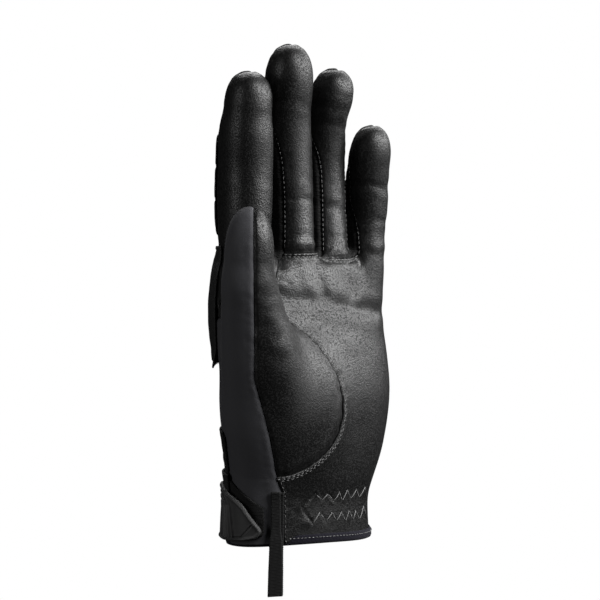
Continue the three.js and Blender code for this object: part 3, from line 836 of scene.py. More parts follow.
# Shirring at the wrist: two zigzags of thread from a pointed pocket, as places on the sketch plane
UPPER_ZIGZAG = [(7, 23), (10.3, 19.5), (13.2, 22.1), (16.1, 18.5), (18.7, 22.5), (19.9, 18.1), (22.5, 23.2),
                (24, 18.6), (27, 22.7), (28.2, 18.6), (31.2, 22.7), (31.9, 18.4)]
LOWER_ZIGZAG = [(5.9, 8.9), (9.4, 14), (12.2, 9.6), (15.1, 13.3), (17.2, 9.4), (19.7, 13.3), (21.6, 9),
                (23.3, 13.5), (25.3, 9.3), (26.5, 13.2), (28.5, 8.9), (30.5, 14.3), (32, 9.4)]
POCKET = [(7, 23), (0.9, 16.6), (5.9, 8.9)]
# Dents round the pocket and beside its first stitches: a line, how wide it is and how deep
WRIST_DENTS = [
    (POCKET, 0.55, 0.6),
    ([(13.2, 22.1), (16.1, 18.5)], 0.6, 0.3),
    ([(12.2, 9.6), (9.4, 14)], 0.6, 0.25),
]
# Puckers between the rows: place, size and height
WRIST_BUMPS = [((10.6, 18.2), 1.0, 0.35), ((14.6, 18.0), 0.9, 0.25), ((2.6, 9.6), 2.4, 0.42),
               ((24, 15.8), 2.2, 0.08), ((12, 5.6), 3.0, 0.12), ((-1.5, 18), 3.0, 0.2), ((14, 26), 3.5, 0.2),
               ((23, 26.5), 3.0, 0.15)]
SHIRRED_BELOW = 34
FLEX_LIMBS = {"index": INDEX, "middle": MIDDLE, "ring": RING, "little": LITTLE, "thumb": THUMB}


PUFF, PUFF_PLACE = 0.25, 2.1


def dents(flat, lines):
    """A dent along each line with the leather puffed up softly beside it."""
    height = np.zeros(len(flat))
    for line, wide, deep in lines:
        away = off_line(flat, line)
        height += deep * (PUFF * bell(away - PUFF_PLACE * wide, wide) - bell(away, wide))
    return height


# Folds lean and wander across the finger, and fade towards its back
FOLD_SLANT = 0.12
FOLD_WANDER, WANDER_SIZE = 2.6, 8.0
FOLD_SHARE, FOLD_SPREAD = 0.5, 1.2
FOLDS_AT_SIDE, FOLDS_BY_TURN = 0.55, 0.6


def finger_folds(points):
    """Folds across the palm side of the fingers, a little slanted and wandering."""
    height = np.zeros(len(points))
    wander = FOLD_WANDER * noise(points, WANDER_SIZE, 11)
    for name, folds in FINGER_FOLDS.items():
        limb = FLEX_LIMBS[name]
        near = limb.distance(points) < ON_LIMB
        _, u, v, _, wide, _ = limb.locate(points[near])
        palmward = np.clip(FOLDS_AT_SIDE + FOLDS_BY_TURN * v / wide, 0, 1)
        up = points[near, 2] + wander[near] + FOLD_SLANT * u
        for height_of_fold, size, deep in folds:
            height[near] -= FOLD_SHARE * deep * palmward * bell(up - height_of_fold, FOLD_SPREAD * size)
    return height


def shirring(flat):
    """Puckers of the leather where the elastic is sewn behind it."""
    height = np.zeros(len(flat))
    near = flat[:, 1] < SHIRRED_BELOW
    here = flat[near]
    rise = dents(here, WRIST_DENTS)
    for middle, size, amount in WRIST_BUMPS:
        rise += amount * bell(np.linalg.norm(here - middle, axis=1), size)
    height[near] = rise
    return height


# Unevenness of every panel, longer up the hand than across it: height, size and seed
BROAD_SWELLS = (0.09, 13.0, 5)
FINE_SWELLS = (0.02, 4.2, 6)
STRETCHED_UP = np.array([1, 1, 0.55])
CREASE_WANDER, CREASE_WANDER_SIZE = 0.6, 9.0


def hand_relief(name, points):
    """Soft folds and unevenness of a panel."""
    flat, depth = on_sketch(points)
    height = (BROAD_SWELLS[0] * noise(points * STRETCHED_UP, *BROAD_SWELLS[1:])
              + FINE_SWELLS[0] * noise(points, *FINE_SWELLS[1:]))
    warp = np.stack([noise(points, CREASE_WANDER_SIZE, seed) for seed in (8, 9)], axis=-1)
    warped = flat + CREASE_WANDER * warp
    if name == "palm":
        height += dents(warped, PALM_CREASES)
        height[depth > 0] += shirring(flat[depth > 0])
    if name == "thumb_front":
        height += dents(warped, THUMB_PULLS)
    if name != "thumb_back":
        height += finger_folds(points)
    return height


# Materials. Shader sizes are metres, and scales are bumps in a metre.

class Nodes:
    """Short calls for building a node tree."""

    def __init__(self, tree):
        self.tree = tree

    def add(self, kind, inputs=None, **settings):
        node = self.tree.nodes.new(kind)
        for name, value in settings.items():
            setattr(node, name, value)
        for name, value in (inputs or {}).items():
            if isinstance(value, bpy.types.NodeSocket):
                self.tree.links.new(value, node.inputs[name])
            else:
                node.inputs[name].default_value = value
        return node

    def math(self, operation, first, second=0.0):
        return self.add("ShaderNodeMath", {0: first, 1: second}, operation=operation).outputs[0]

    def plus(self, first, second):
        return self.math("ADD", first, second)

    def times(self, first, second):
        return self.math("MULTIPLY", first, second)

    def vector(self, operation, inputs):
        return self.add("ShaderNodeVectorMath", inputs, operation=operation).outputs[0]

    def ranged(self, value, low, high, to_low=0.0, to_high=1.0):
        inputs = {"Value": value, "From Min": low, "From Max": high, "To Min": to_low, "To Max": to_high}
        return self.add("ShaderNodeMapRange", inputs, interpolation_type="SMOOTHSTEP").outputs[0]

    def mixed(self, share, first, second):
        return self.add("ShaderNodeMix", {0: share, 6: first, 7: second}, data_type="RGBA").outputs[2]

    def place(self):
        return self.add("ShaderNodeTexCoord").outputs["Object"]

    def noise(self, where, scale, detail=2.0, roughness=0.5, output="Fac"):
        inputs = {"Vector": where, "Scale": scale, "Detail": detail, "Roughness": roughness}
        return self.add("ShaderNodeTexNoise", inputs).outputs[output]

    def rounded_cells(self, where, scale, smoothness):
        inputs = {"Vector": where, "Scale": scale, "Smoothness": smoothness}
        return self.add("ShaderNodeTexVoronoi", inputs, feature="SMOOTH_F1").outputs["Distance"]

    def group(self, tree, inputs):
        return self.add("ShaderNodeGroup", inputs, node_tree=tree).outputs


def shader_group(name, inputs, outputs, build):
    """A node group with float sockets. Its build function is given the nodes and the input sockets."""
    tree = bpy.data.node_groups.new(name, "ShaderNodeTree")
    for label, value in inputs.items():
        made = tree.interface.new_socket(label, in_out="INPUT", socket_type="NodeSocketFloat")
        made.default_value = value
    for label in outputs:
        tree.interface.new_socket(label, in_out="OUTPUT", socket_type="NodeSocketFloat")
    nodes = Nodes(tree)
    entry = nodes.add("NodeGroupInput")
    results = build(nodes, {label: entry.outputs[label] for label in inputs})
    nodes.add("NodeGroupOutput", dict(zip(outputs, results)))
    return tree


BEND_SCALE, BEND_LENGTH = 260.0, 0.0016
FINE_CELLS = 2.3
PEBBLE_SMOOTHNESS, FINE_SMOOTHNESS = 0.35, 0.3
PATCH_SCALE = 900.0
PEBBLE_HEIGHT, FINE_DEPTH = 0.62, -0.2
VALLEY_EDGES = (0.42, 0.75)


def pebbled(nodes, given):
    """The rounded pebbles of grained leather, with finer creases inside them."""
    where = nodes.place()
    shift = nodes.vector("SUBTRACT", {0: nodes.noise(where, BEND_SCALE, output="Color"), 1: (0.5, 0.5, 0.5)})
    shift = nodes.vector("SCALE", {0: shift, "Scale": BEND_LENGTH})
    bent = nodes.vector("ADD", {0: where, 1: shift})
    scale = nodes.math("DIVIDE", 1.0, given["Pebble Size"])
    cells = nodes.rounded_cells(bent, scale, PEBBLE_SMOOTHNESS)
    fine = nodes.rounded_cells(bent, nodes.times(scale, FINE_CELLS), FINE_SMOOTHNESS)
    patches = nodes.noise(where, PATCH_SCALE, 3.0, 0.62)
    pebbles = nodes.math("SUBTRACT", 1.0, cells)
    height = nodes.plus(nodes.times(pebbles, PEBBLE_HEIGHT), nodes.times(fine, FINE_DEPTH))
    height = nodes.plus(height, nodes.times(patches, given["Unevenness"]))
    return height, nodes.ranged(cells, *VALLEY_EDGES)


WARP_SLANT = 0.9
THREAD_HEIGHT, CROSSING_HEIGHT = 0.2, 0.4
FIBRE_SCALE = 2600.0
THREAD_EDGES, FIBRE_EDGES = (-0.3, 0.6), (0.3, 0.7)


def woven(nodes, given):
    """Crossing threads, with each crossing raised in turn."""
    where = nodes.place()
    x, y, z = nodes.add("ShaderNodeSeparateXYZ", {"Vector": where}).outputs
    turn = nodes.math("DIVIDE", 2 * math.pi, given["Thread Size"])
    across = nodes.times(nodes.plus(x, nodes.times(y, WARP_SLANT)), turn)
    up = nodes.times(z, turn)
    threads = nodes.plus(nodes.math("SINE", across), nodes.math("SINE", up))
    crossing = nodes.times(*[nodes.math("SINE", nodes.times(way, 0.5)) for way in (across, up)])
    height = nodes.plus(nodes.times(threads, THREAD_HEIGHT), nodes.times(crossing, CROSSING_HEIGHT))
    fibres = nodes.noise(where, FIBRE_SCALE)
    return nodes.plus(height, nodes.times(fibres, given["Fibres"])), fibres


SPECK_SCALE, CLOUD_SCALE = 1500.0, 60.0
SPECK_EDGES = (0.56, 0.72)
GATHERED = 0.6


def dusted(nodes, given):
    """Where fine lint gathers: in patches, more in the dips beside the seams."""
    shown = nodes.ranged(nodes.noise(nodes.place(), SPECK_SCALE, 4.0, 0.7), *SPECK_EDGES)
    clouds = nodes.noise(nodes.place(), CLOUD_SCALE, 3.0)
    gathered = nodes.plus(nodes.times(clouds, GATHERED), nodes.times(given["Seam"], GATHERED))
    return [nodes.times(nodes.times(shown, gathered), given["Amount"])]


RUBBED_SCALE, BROKEN_SCALE = 38.0, 420.0
RUBBED_EDGES, BROKEN_EDGES, BROKEN_LEAST = (0.36, 0.66), (0.3, 0.75), 0.4


def rubbed(nodes, given):
    """Handling wear: the tone and the polish of rubbed places, broken up by noise."""
    broad = nodes.ranged(nodes.noise(nodes.place(), RUBBED_SCALE, 3.0), *RUBBED_EDGES)
    broken = nodes.ranged(nodes.noise(nodes.place(), BROKEN_SCALE, 3.0), *BROKEN_EDGES, BROKEN_LEAST)
    return nodes.times(broad, broken), nodes.times(given["Seam"], broken)


LEATHER_GRAIN = shader_group("Leather grain", {"Pebble Size": 0.001, "Unevenness": 0.3},
                             ("Height", "Valleys"), pebbled)
WEAVE = shader_group("Woven cloth", {"Thread Size": 0.0008, "Fibres": 0.3}, ("Height", "Fibres"), woven)
LINT = shader_group("Lint", {"Seam": 0.0, "Amount": 0.1}, ("Mask",), dusted)
HANDLING = shader_group("Handling wear", {"Seam": 0.0}, ("Rubbed", "Edge"), rubbed)


def grey(value, blue=0.0):
    return (value, value, value * (1 + blue), 1.0)


def new_material(name):
    material = bpy.data.materials.new(name)
    material.use_nodes = True
    material.node_tree.nodes.clear()
    return material, Nodes(material.node_tree)


def seam_wear(nodes, lint_amount):
    """Handling wear and lint, both read by how near a seam is."""
    seam = nodes.add("ShaderNodeAttribute", attribute_name="seam").outputs["Fac"]
    lint = nodes.group(LINT, {"Seam": seam, "Amount": lint_amount})["Mask"]
    return nodes.group(HANDLING, {"Seam": seam}), lint


def finished(nodes, base, rough, height, depth):
    normal = nodes.add("ShaderNodeBump", {"Height": height, "Distance": depth}).outputs[0]
    shader = nodes.add("ShaderNodeBsdfPrincipled",
                       {"Base Color": base, "Roughness": rough, "Normal": normal})
    nodes.add("ShaderNodeOutputMaterial", {"Surface": shader.outputs[0]})


# How strongly worn edges show and how strongly painted shade darkens the grain valleys, and the greys of
# worn edges, of the painted shade in the grain valleys and of lint
LEATHER_EDGE, LEATHER_EDGE_GREY = 0.3, 0.015
PAINTED_VALLEY_SHADE, PAINTED_VALLEY_SHADE_GREY, VALLEY_ROUGHER = 0.55, 0.0015, 0.33
LEATHER_LINT, LEATHER_LINT_GREY, POLISH = 0.1, 0.12, 0.05
CLOTH_RUBBED, CLOTH_LINT, CLOTH_LINT_GREY, CLOTH_UNEVEN = 0.2, 0.12, 0.3, 0.06
RUBBER_EDGE, RUBBER_EDGE_GREY, RUBBER_LINT, RUBBER_LINT_GREY, RUBBER_POLISH = 0.5, 0.06, 0.1, 0.2, 0.06
SAND_SCALE, SAND_DEPTH = 5200.0, 0.00006
TWIST_SCALE, TWIST_DEPTH, TWIST_DISTORTION, TWIST_ROUGHNESS = 700.0, 0.0001, 1.5, (0.7, 0.5)


def leather(name, dark, light, pebble, depth, roughness):
    """Grained leather with painted shade darkening its grain valleys, duller in the valleys and polished
    where it is rubbed.
    """
    material, nodes = new_material(name)
    grain = nodes.group(LEATHER_GRAIN, {"Pebble Size": pebble})
    wear, lint = seam_wear(nodes, LEATHER_LINT)
    base = nodes.mixed(wear["Rubbed"], dark, light)
    base = nodes.mixed(nodes.times(wear["Edge"], LEATHER_EDGE), base, grey(LEATHER_EDGE_GREY))
    # Painted shade: the grain valleys are darkened towards a near-black grey
    base = nodes.mixed(nodes.times(grain["Valleys"], PAINTED_VALLEY_SHADE), base, grey(PAINTED_VALLEY_SHADE_GREY))
    base = nodes.mixed(lint, base, grey(LEATHER_LINT_GREY))
    rough = nodes.ranged(wear["Rubbed"], 0.0, 1.0, roughness + POLISH, roughness - POLISH)
    rough = nodes.plus(rough, nodes.times(grain["Valleys"], VALLEY_ROUGHER))
    finished(nodes, base, rough, grain["Height"], depth)
    return material


def cloth(name, dark, light, thread_size, depth, fibres=0.3, roughness=0.85):
    """Woven cloth, webbing or tape."""
    material, nodes = new_material(name)
    weave = nodes.group(WEAVE, {"Thread Size": thread_size, "Fibres": fibres})
    wear, lint = seam_wear(nodes, CLOTH_LINT)
    base = nodes.mixed(nodes.ranged(weave["Height"], *THREAD_EDGES), dark, light)
    base = nodes.mixed(nodes.times(wear["Rubbed"], CLOTH_RUBBED), base, light)
    base = nodes.mixed(lint, base, grey(CLOTH_LINT_GREY))
    rough = nodes.ranged(weave["Fibres"], *FIBRE_EDGES, roughness - CLOTH_UNEVEN, roughness + CLOTH_UNEVEN)
    finished(nodes, base, rough, weave["Height"], depth)
    return material


def moulded(name, dark, light, roughness):
    """Moulded rubber with a fine sandblasted surface."""
    material, nodes = new_material(name)
    wear, lint = seam_wear(nodes, RUBBER_LINT)
    base = nodes.mixed(wear["Rubbed"], dark, light)
    base = nodes.mixed(nodes.times(wear["Edge"], RUBBER_EDGE), base, grey(RUBBER_EDGE_GREY))
    base = nodes.mixed(lint, base, grey(RUBBER_LINT_GREY))
    rough = nodes.ranged(wear["Rubbed"], 0.0, 1.0, roughness + RUBBER_POLISH, roughness - RUBBER_POLISH)
    finished(nodes, base, rough, nodes.noise(nodes.place(), SAND_SCALE), SAND_DEPTH)
    return material


def thread(name, dark, light):
    """Twisted sewing thread."""
    material, nodes = new_material(name)
    inputs = {"Vector": nodes.place(), "Scale": TWIST_SCALE, "Distortion": TWIST_DISTORTION}
    twist = nodes.add("ShaderNodeTexWave", inputs, bands_direction="DIAGONAL").outputs["Fac"]
    rough = nodes.ranged(twist, 0.0, 1.0, *TWIST_ROUGHNESS)
    finished(nodes, nodes.mixed(twist, dark, light), rough, twist, TWIST_DEPTH)
    return material


# Leather: dark and light, size of a pebble, depth of the grain, roughness. Cloth: dark and light, size of a
# thread, depth of the weave, how fibrous, roughness.
LEATHER = leather("Goat leather", grey(0.0045), grey(0.0065), 0.0007, 0.00015, 0.34)
LINING = cloth("Lining", grey(0.006), grey(0.014), 0.0012, 0.0002)
MATTE_CLOTH = cloth("Matte cloth", grey(0.052, 0.1), grey(0.06, 0.12), 0.00035, 0.00001, 0.2, 0.78)
STRETCH_CLOTH = cloth("Stretch cloth", grey(0.003), grey(0.009), 0.0009, 0.00015, 0.3, 0.8)
PAD_CLOTH = cloth("Pad cloth", grey(0.003), grey(0.008), 0.0007, 0.0001, 0.3, 0.7)
GUARD_CLOTH = cloth("Guard cloth", grey(0.003), grey(0.009), 0.0008, 0.00012, 0.3, 0.7)
LOOP_CLOTH = cloth("Loop cloth", grey(0.0015), grey(0.004), 0.0008, 0.00012, 0.9, 0.95)
STRAP_CLOTH = cloth("Strap webbing", grey(0.003), grey(0.01), 0.0014, 0.0003, 0.3, 0.8)
BINDING_TAPE = cloth("Binding tape", (0.002, 0.0017, 0.0062, 1), (0.0045, 0.0037, 0.012, 1),
                     0.0009, 0.0001, 0.3, 1.0)
PULL_WEBBING = cloth("Pull webbing", grey(0.003), grey(0.007), 0.0008, 0.0001, 0.5, 0.9)
RUBBER = moulded("Moulded rubber", grey(0.045), grey(0.06), 0.5)
SEAM_THREAD = thread("Seam thread", grey(0.15), grey(0.3))
# Painted highlight: a lighter copy of the thread for the rising strokes of the shirring
LIT_SHIRRING_THREAD = thread("Lit shirring thread", grey(0.16), grey(0.34))
PALE_THREAD = thread("Pale thread", grey(0.16), grey(0.32))


# Making the pieces

THICKNESS = 1.3
INSIDE_FOLLOWS = 0.3
EDGE_GAP = 0.1
WEAR_REACH, OVERLAY_WEAR_REACH = 2.0, 1.2
DIP = 3.4
DIP_HALF_WIDTH = 37
DIP_HEIGHT = 34


def dipped(points):
    """The cuff's edge runs a little lower at the sides of the wrist than at its front and back."""
    points = np.asarray(points, float).copy()
    across = points @ SKETCH_ACROSS
    points[:, 2] -= DIP * (across / DIP_HALF_WIDTH) ** 2 * eased(1 - points[:, 2] / DIP_HEIGHT)
    return points


def mesh_object(name, points, faces, materials, seam=None, inside=None):
    """A smooth-shaded mesh from millimetre points and sheets of faces. Seam says how near a seam each
    point is, and inside says which faces have the second material."""
    mesh = bpy.data.meshes.new(name)
    faces = [np.asarray(sheet) for sheet in faces]
    counts = np.concatenate([np.full(len(sheet), sheet.shape[1]) for sheet in faces])
    corners = np.concatenate([sheet.ravel() for sheet in faces])
    starts = np.concatenate([[0], np.cumsum(counts)[:-1]])
    mesh.vertices.add(len(points))
    mesh.vertices.foreach_set("co", (dipped(points) * MM).astype(np.float32).ravel())
    mesh.loops.add(len(corners))
    mesh.loops.foreach_set("vertex_index", corners.astype(np.int32))
    mesh.polygons.add(len(counts))
    mesh.polygons.foreach_set("loop_start", starts.astype(np.int32))
    mesh.polygons.foreach_set("use_smooth", np.ones(len(counts), bool))
    for material in materials:
        mesh.materials.append(material)
    if inside is not None:
        mesh.polygons.foreach_set("material_index", inside.astype(np.int32))
    mesh.update(calc_edges=True)
    mesh.validate()
    if seam is not None:
        layer = mesh.attributes.new("seam", "FLOAT", "POINT")
        layer.data.foreach_set("value", np.broadcast_to(seam, len(points)).astype(np.float32))
    made = bpy.data.objects.new(name, mesh)
    bpy.context.scene.collection.objects.link(made)
    return made


def on_glove_body(piece, node=None):
    """Puts a piece on the glove, in place of the node if one is given."""
    if node:
        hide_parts(node)
    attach(piece, "root")


def only_used(faces):
    """The points that some faces use, and the faces by their new numbers."""
    used, renumbered = np.unique(faces, return_inverse=True)
    return used, renumbered.reshape(-1, 3)


def border_edges(faces):
    """Directed edges that only one face has."""
    edges = directed_edges(faces)
    size = faces.max() + 1
    key, back = edges[:, 0] * size + edges[:, 1], edges[:, 1] * size + edges[:, 0]
    return edges[~np.isin(key, back)]


def walled(outer, inner, faces):
    """Points, faces and which of them are inside, of a wall between two sheets with the same faces."""
    size = len(outer)
    rim = border_edges(faces)
    a, b = rim[:, 0], rim[:, 1]
    rims = np.stack([b, a, a + size, b + size], axis=1)
    inside = np.concatenate([np.zeros(len(faces)), np.ones(len(faces)), np.zeros(len(rims))])
    return np.vstack([outer, inner]), [faces, faces[:, ::-1] + size, rims], inside


def pulled_in(points, faces, gap):
    """The sheet with its border moved in by a gap, so that neighbours don't touch."""
    rim = border_edges(faces)
    sums, count = np.zeros_like(points), np.zeros(len(points))
    for a, b in ((0, 1), (1, 2), (2, 0)):
        for here, there in ((a, b), (b, a)):
            np.add.at(sums, faces[:, here], points[faces[:, there]])
            np.add.at(count, faces[:, here], 1)
    border = np.unique(rim)
    inward = unit(sums[border] / count[border, None] - points[border])
    moved = points.copy()
    moved[border] += gap * inward
    return moved


def panel_piece(panel, base, up, faces, material):
    """A panel with its relief outside, its lining inside and a rim between them."""
    height = panel.relief(base)
    away, _ = panel.nearest(base)
    outer = base + up * height[:, None]
    inner = base + up * (np.minimum(height, INSIDE_FOLLOWS) - THICKNESS)[:, None]
    points, sheets, inside = walled(outer, inner, faces)
    near_seam = np.tile(np.exp(-away / WEAR_REACH), 2)
    return mesh_object(panel.name + "_sewn", points, sheets, [material, LINING], near_seam, inside)


# Stitches

STITCH_SIDES = 6
STITCH_PLACES = (0.0, 0.12, 0.5, 0.88, 1.0)
STITCH_SIZES = (0.35, 0.85, 1.0, 0.85, 0.35)
STITCH_LIFTS = (-0.3, 0.55, 0.85, 0.55, -0.3)
PLACES = len(STITCH_PLACES)
ROW_STEP, OFFSET_STEP = 0.4, 0.6
FIRST_STITCH = 0.3
OFFSET_ROUNDS = 4


def thread_pieces(centres, normals, radii):
    """One closed mesh of short threads. Centres are threads x places x 3, normals one for each place."""
    count, places = centres.shape[:2]
    ahead = unit(np.gradient(centres, axis=1))
    side = unit(np.cross(ahead, normals))
    up = np.cross(side, ahead)
    turn = np.arange(STITCH_SIDES) * 2 * math.pi / STITCH_SIDES
    size = np.asarray(radii)[:, None, None, None] * np.array(STITCH_SIZES)[None, :, None, None]
    rings = centres[:, :, None] + size * (side[:, :, None] * np.cos(turn)[:, None]
                                          + up[:, :, None] * np.sin(turn)[:, None])
    points = rings.reshape(-1, 3)
    base = (np.arange(count) * places * STITCH_SIDES)[:, None, None]
    row = (np.arange(places - 1) * STITCH_SIDES)[None, :, None]
    at, after = np.arange(STITCH_SIDES), (np.arange(STITCH_SIDES) + 1) % STITCH_SIDES
    quads = np.stack([base + row + at, base + row + STITCH_SIDES + at,
                      base + row + STITCH_SIDES + after, base + row + after], axis=-1).reshape(-1, 4)
    first = (base[:, 0] + np.arange(STITCH_SIDES)).reshape(-1, STITCH_SIDES)
    last = first[:, ::-1] + (places - 1) * STITCH_SIDES
    return points, [quads, first, last]


def raised(distance, lift, places, radius):
    """Places of threads on the surface lifted to lie half in it, with the normals there."""
    flat = places.reshape(-1, 3)
    normals = normals_of(distance, flat)
    rise = lift(flat) + radius * np.tile(STITCH_LIFTS, len(flat) // PLACES)
    return (flat + normals * rise[:, None]).reshape(-1, PLACES, 3), normals.reshape(-1, PLACES, 3)


def stitched(lift, line, radius, pitch, length):
    """Centres and normals of a row of stitches along a line on the glove."""
    even, at = resampled(line, ROW_STEP)
    starts = np.arange(FIRST_STITCH * pitch, at[-1] - length, pitch)
    where = starts[:, None] + length * np.array(STITCH_PLACES)
    places = onto(glove_distance, read_table(where, at, even).reshape(-1, 3), 1)
    return raised(glove_distance, lift, places, radius)


def beside(line, offset, inside):
    """A line on the glove moved sideways by an offset, to the side that is inside a panel."""
    even, _ = resampled(line, OFFSET_STEP)
    normals = normals_of(glove_distance, even)
    side = unit(np.cross(normals, unit(np.gradient(even, axis=0))))
    if np.mean(inside(even + side) > inside(even - side)) < 0.5:
        side = -side
    moved = even + side * offset
    for _ in range(OFFSET_ROUNDS):
        moved[1:-1] = moved[1:-1] * 0.5 + (moved[:-2] + moved[2:]) * 0.25
    return onto(glove_distance, moved, 1)


# Pieces that lie on the glove

def chaikin(outline, rounds=3):
    """A closed outline with its corners cut round."""
    points = np.array(outline, float)
    for _ in range(rounds):
        after = np.roll(points, -1, axis=0)
        cuts = [0.75 * points + 0.25 * after, 0.25 * points + 0.75 * after]
        points = np.stack(cuts, axis=1).reshape(-1, 2)
    return points


TOP_ROUNDED, FOOT_ROUNDED = 0.5, 0.6
BORDER_REFINED = 0.7


class Patch:
    """A sheet cut from the glove's surface inside a box, with its border smoothed."""

    def __init__(self, box, size, field):
        points, faces = surface_mesh(*box, size)
        marks = np.zeros(len(faces), int)
        points, faces, marks = cut(points, faces, marks, field, 0, 1)
        marks = join_crumbs(faces, marks)
        used, faces = only_used(faces[marks == 1])
        points, marks = points[used], np.zeros(len(faces), int)
        lines = seam_lines(faces, marks)
        points = straighten_seams(points, lines, 3)
        self.points, self.faces, _ = refine(points, faces, marks, lines, size * BORDER_REFINED)
        self.normals = normals_of(glove_distance, self.points)
        border = [resampled(points[line], SEAM_STEP)[0] for line in lines[(EDGE, 0)]]
        self.away, _ = Nearest(np.vstack(border))(self.points)

    def lifted(self, name, under, over, material, rounding=0.8):
        """A solid between two lifts, each a number or one for each point, with its edges rounded."""
        under = np.broadcast_to(under, len(self.points))
        over = np.broadcast_to(over, len(self.points))
        edge = np.clip(1 - self.away / rounding, 0, 1)
        drop = (1 - np.sqrt(1 - edge * edge)) * np.minimum(over - under, 2 * rounding) * TOP_ROUNDED
        outer = self.points + self.normals * (over - drop)[:, None]
        inner = self.points + self.normals * (under + drop * FOOT_ROUNDED)[:, None]
        points, sheets, _ = walled(outer, inner, self.faces)
        near_seam = np.tile(np.exp(-self.away / OVERLAY_WEAR_REACH), 2)
        return mesh_object(name, points, sheets, [material], near_seam)


# Outlines of the overlays: the guard seen from behind, the closure panel and the tab on the sketch plane
GUARD_OUTLINE = [(-60, 141), (-28, 137), (-6, 132), (16, 129), (36, 121), (38, 98), (16, 90), (-10, 88),
                 (-34, 84), (-60, 78)]
GUARD_SIDE_Y = 3
CLOSURE_OUTLINE = [(-75, 5.2), (-16.6, 5.2), (-16.6, 18.2), (-25, 23.9), (-32.6, 29.4), (-33.4, 38.6),
                   (-34.2, 50.5), (-35.5, 53), (-75, 53)]
CLOSURE_BACK_DEPTH = -17
TAB_OUTLINE = [(-75, 2.2), (-21, 3.6), (-17.4, 7.2), (-17.6, 9.4), (-21.4, 14.6), (-24.8, 20.6), (-28, 23),
               (-32.6, 25.4), (-36.5, 30.5), (-75, 31)]
TAB_BACK_DEPTH = -3
# The strap: lower and upper edge, and the angles round the wrist that it runs between
STRAP_LOW, STRAP_HIGH, STRAP_FROM, STRAP_TO = 4.4, 32, 124, 270
# Finger pads: name, finger, lower and upper edge
PADS = [("index_pad", INDEX, 143, 191), ("middle_pad", MIDDLE, 146, 200), ("ring_pad", RING, 144, 194),
        ("little_pad", LITTLE, 136, 170)]
PAD_EDGE = 130
PAD_CORNER = 7


def guard_field(points):
    flat = points[:, [0, 2]]
    return smallest(inside_outline(flat, chaikin(GUARD_OUTLINE, 2)), points[:, 1] - GUARD_SIDE_Y)


def pad_field(limb, low, high):
    def field(points):
        angle, radius, _ = limb.angle(points)
        wide = (np.abs(angle) - PAD_EDGE) * np.radians(radius)
        long = np.minimum(points[:, 2] - low, high - points[:, 2])
        return smallest(soft_min(wide, long, PAD_CORNER), ON_LIMB - limb.distance(points))
    return field


def closure_field(points):
    flat, depth = on_sketch(points)
    return smallest(inside_outline(flat, CLOSURE_OUTLINE), depth - CLOSURE_BACK_DEPTH)


def strap_field(points):
    angle, radius, _ = PALM.angle(points)
    angle = angle % 360
    return smallest(smallest(angle - STRAP_FROM, STRAP_TO - angle) * np.radians(radius),
                    points[:, 2] - STRAP_LOW, STRAP_HIGH - points[:, 2])


def tab_field(points):
    flat, depth = on_sketch(points)
    return smallest(inside_outline(flat, chaikin(TAB_OUTLINE, 2)), depth - TAB_BACK_DEPTH)


# Grooves of the tab on the sketch plane with their depths: bent ones side by side, and one across the corner
TAB_GROOVES = [
    ([(-31.2, 5.6), (-32.6, 18.7), (-35.3, 24.2)], 1.2),
    ([(-32.8, 5.6), (-34.1, 18.7), (-36.6, 23.7)], 1.1),
    ([(-34.2, 5.6), (-35.5, 18.7), (-37.6, 22.9)], 1.1),
    ([(-35.6, 5.6), (-36.7, 18.7), (-38.4, 21.9)], 1.1),
    ([(-22.4, 11), (-27.6, 5.6), (-31.2, 5.6)], 0.5),
]
GROOVE_WIDTH = 0.3
GROOVE_CREST, CREST_PLACE, CREST_WIDTH = 0.25, 0.6, 0.25
GROOVE_END = 1.4
TAB_TOP = 4.05
LIP, LIP_PLACE, LIP_WIDTH = 0.5, 0.9, 0.55


def tab_relief(points, away):
    """A raised lip round the tab, and its grooves."""
    flat, _ = on_sketch(points)
    height = LIP * bell(away - LIP_PLACE, LIP_WIDTH)
    for groove, deep in TAB_GROOVES:
        off = off_line(flat, groove)
        shape = GROOVE_CREST * bell(off - CREST_PLACE, CREST_WIDTH) - bell(off, GROOVE_WIDTH)
        height += deep * shape * np.clip(away / GROOVE_END, 0, 1)
    return height


# The binding round the cuff: its section as lift and height, and the ellipse that its search starts from
BINDING_PROFILE = [(-2.7, 3.8), (-2.75, 2.0), (-2.6, 0.3), (-2.1, -0.4), (-1.0, -0.62), (0.2, -0.55),
                   (0.95, -0.1), (1.25, 0.8), (1.3, 2.2), (1.15, 3.3), (0.75, 3.9), (0.35, 4.0), (0.3, 2.6),
                   (0.3, 0.7), (-0.4, 0.1), (-1.4, 0.2), (-1.7, 1.2), (-1.75, 3.7), (-2.1, 4.0)]
CUFF_MIDDLE = (-0.5, 0.0)
CUFF_RADII = (34.5, 23.5)
CUFF_ROUNDS = 6


def round_cuff(turn, lift, height, middle=(0.0, 0.0)):
    """Places round the cuff at angles, at one height and one lift off the wrist."""
    places = np.stack([middle[0] + CUFF_RADII[0] * np.sin(turn), middle[1] - CUFF_RADII[1] * np.cos(turn),
                       np.full(len(turn), height)], axis=-1)
    return onto(lambda p: PALM.distance(p) - lift, places, CUFF_ROUNDS)


def swept_ring(profile, steps=400):
    """A closed band round the wrist. The profile is a closed line of lift and height."""
    turn = np.arange(steps) * 2 * math.pi / steps
    rows = []
    for lift, height in profile:
        points = round_cuff(turn, lift, height, CUFF_MIDDLE)
        points[:, 2] = height
        rows.append(points)
    count = len(profile)
    index = np.arange(steps * count).reshape(steps, count)
    after = np.roll(index, -1, axis=0)
    quads = np.stack([index, after, np.roll(after, -1, axis=1), np.roll(index, -1, axis=1)], axis=-1)
    return np.stack(rows, axis=1).reshape(-1, 3), quads.reshape(-1, 4)


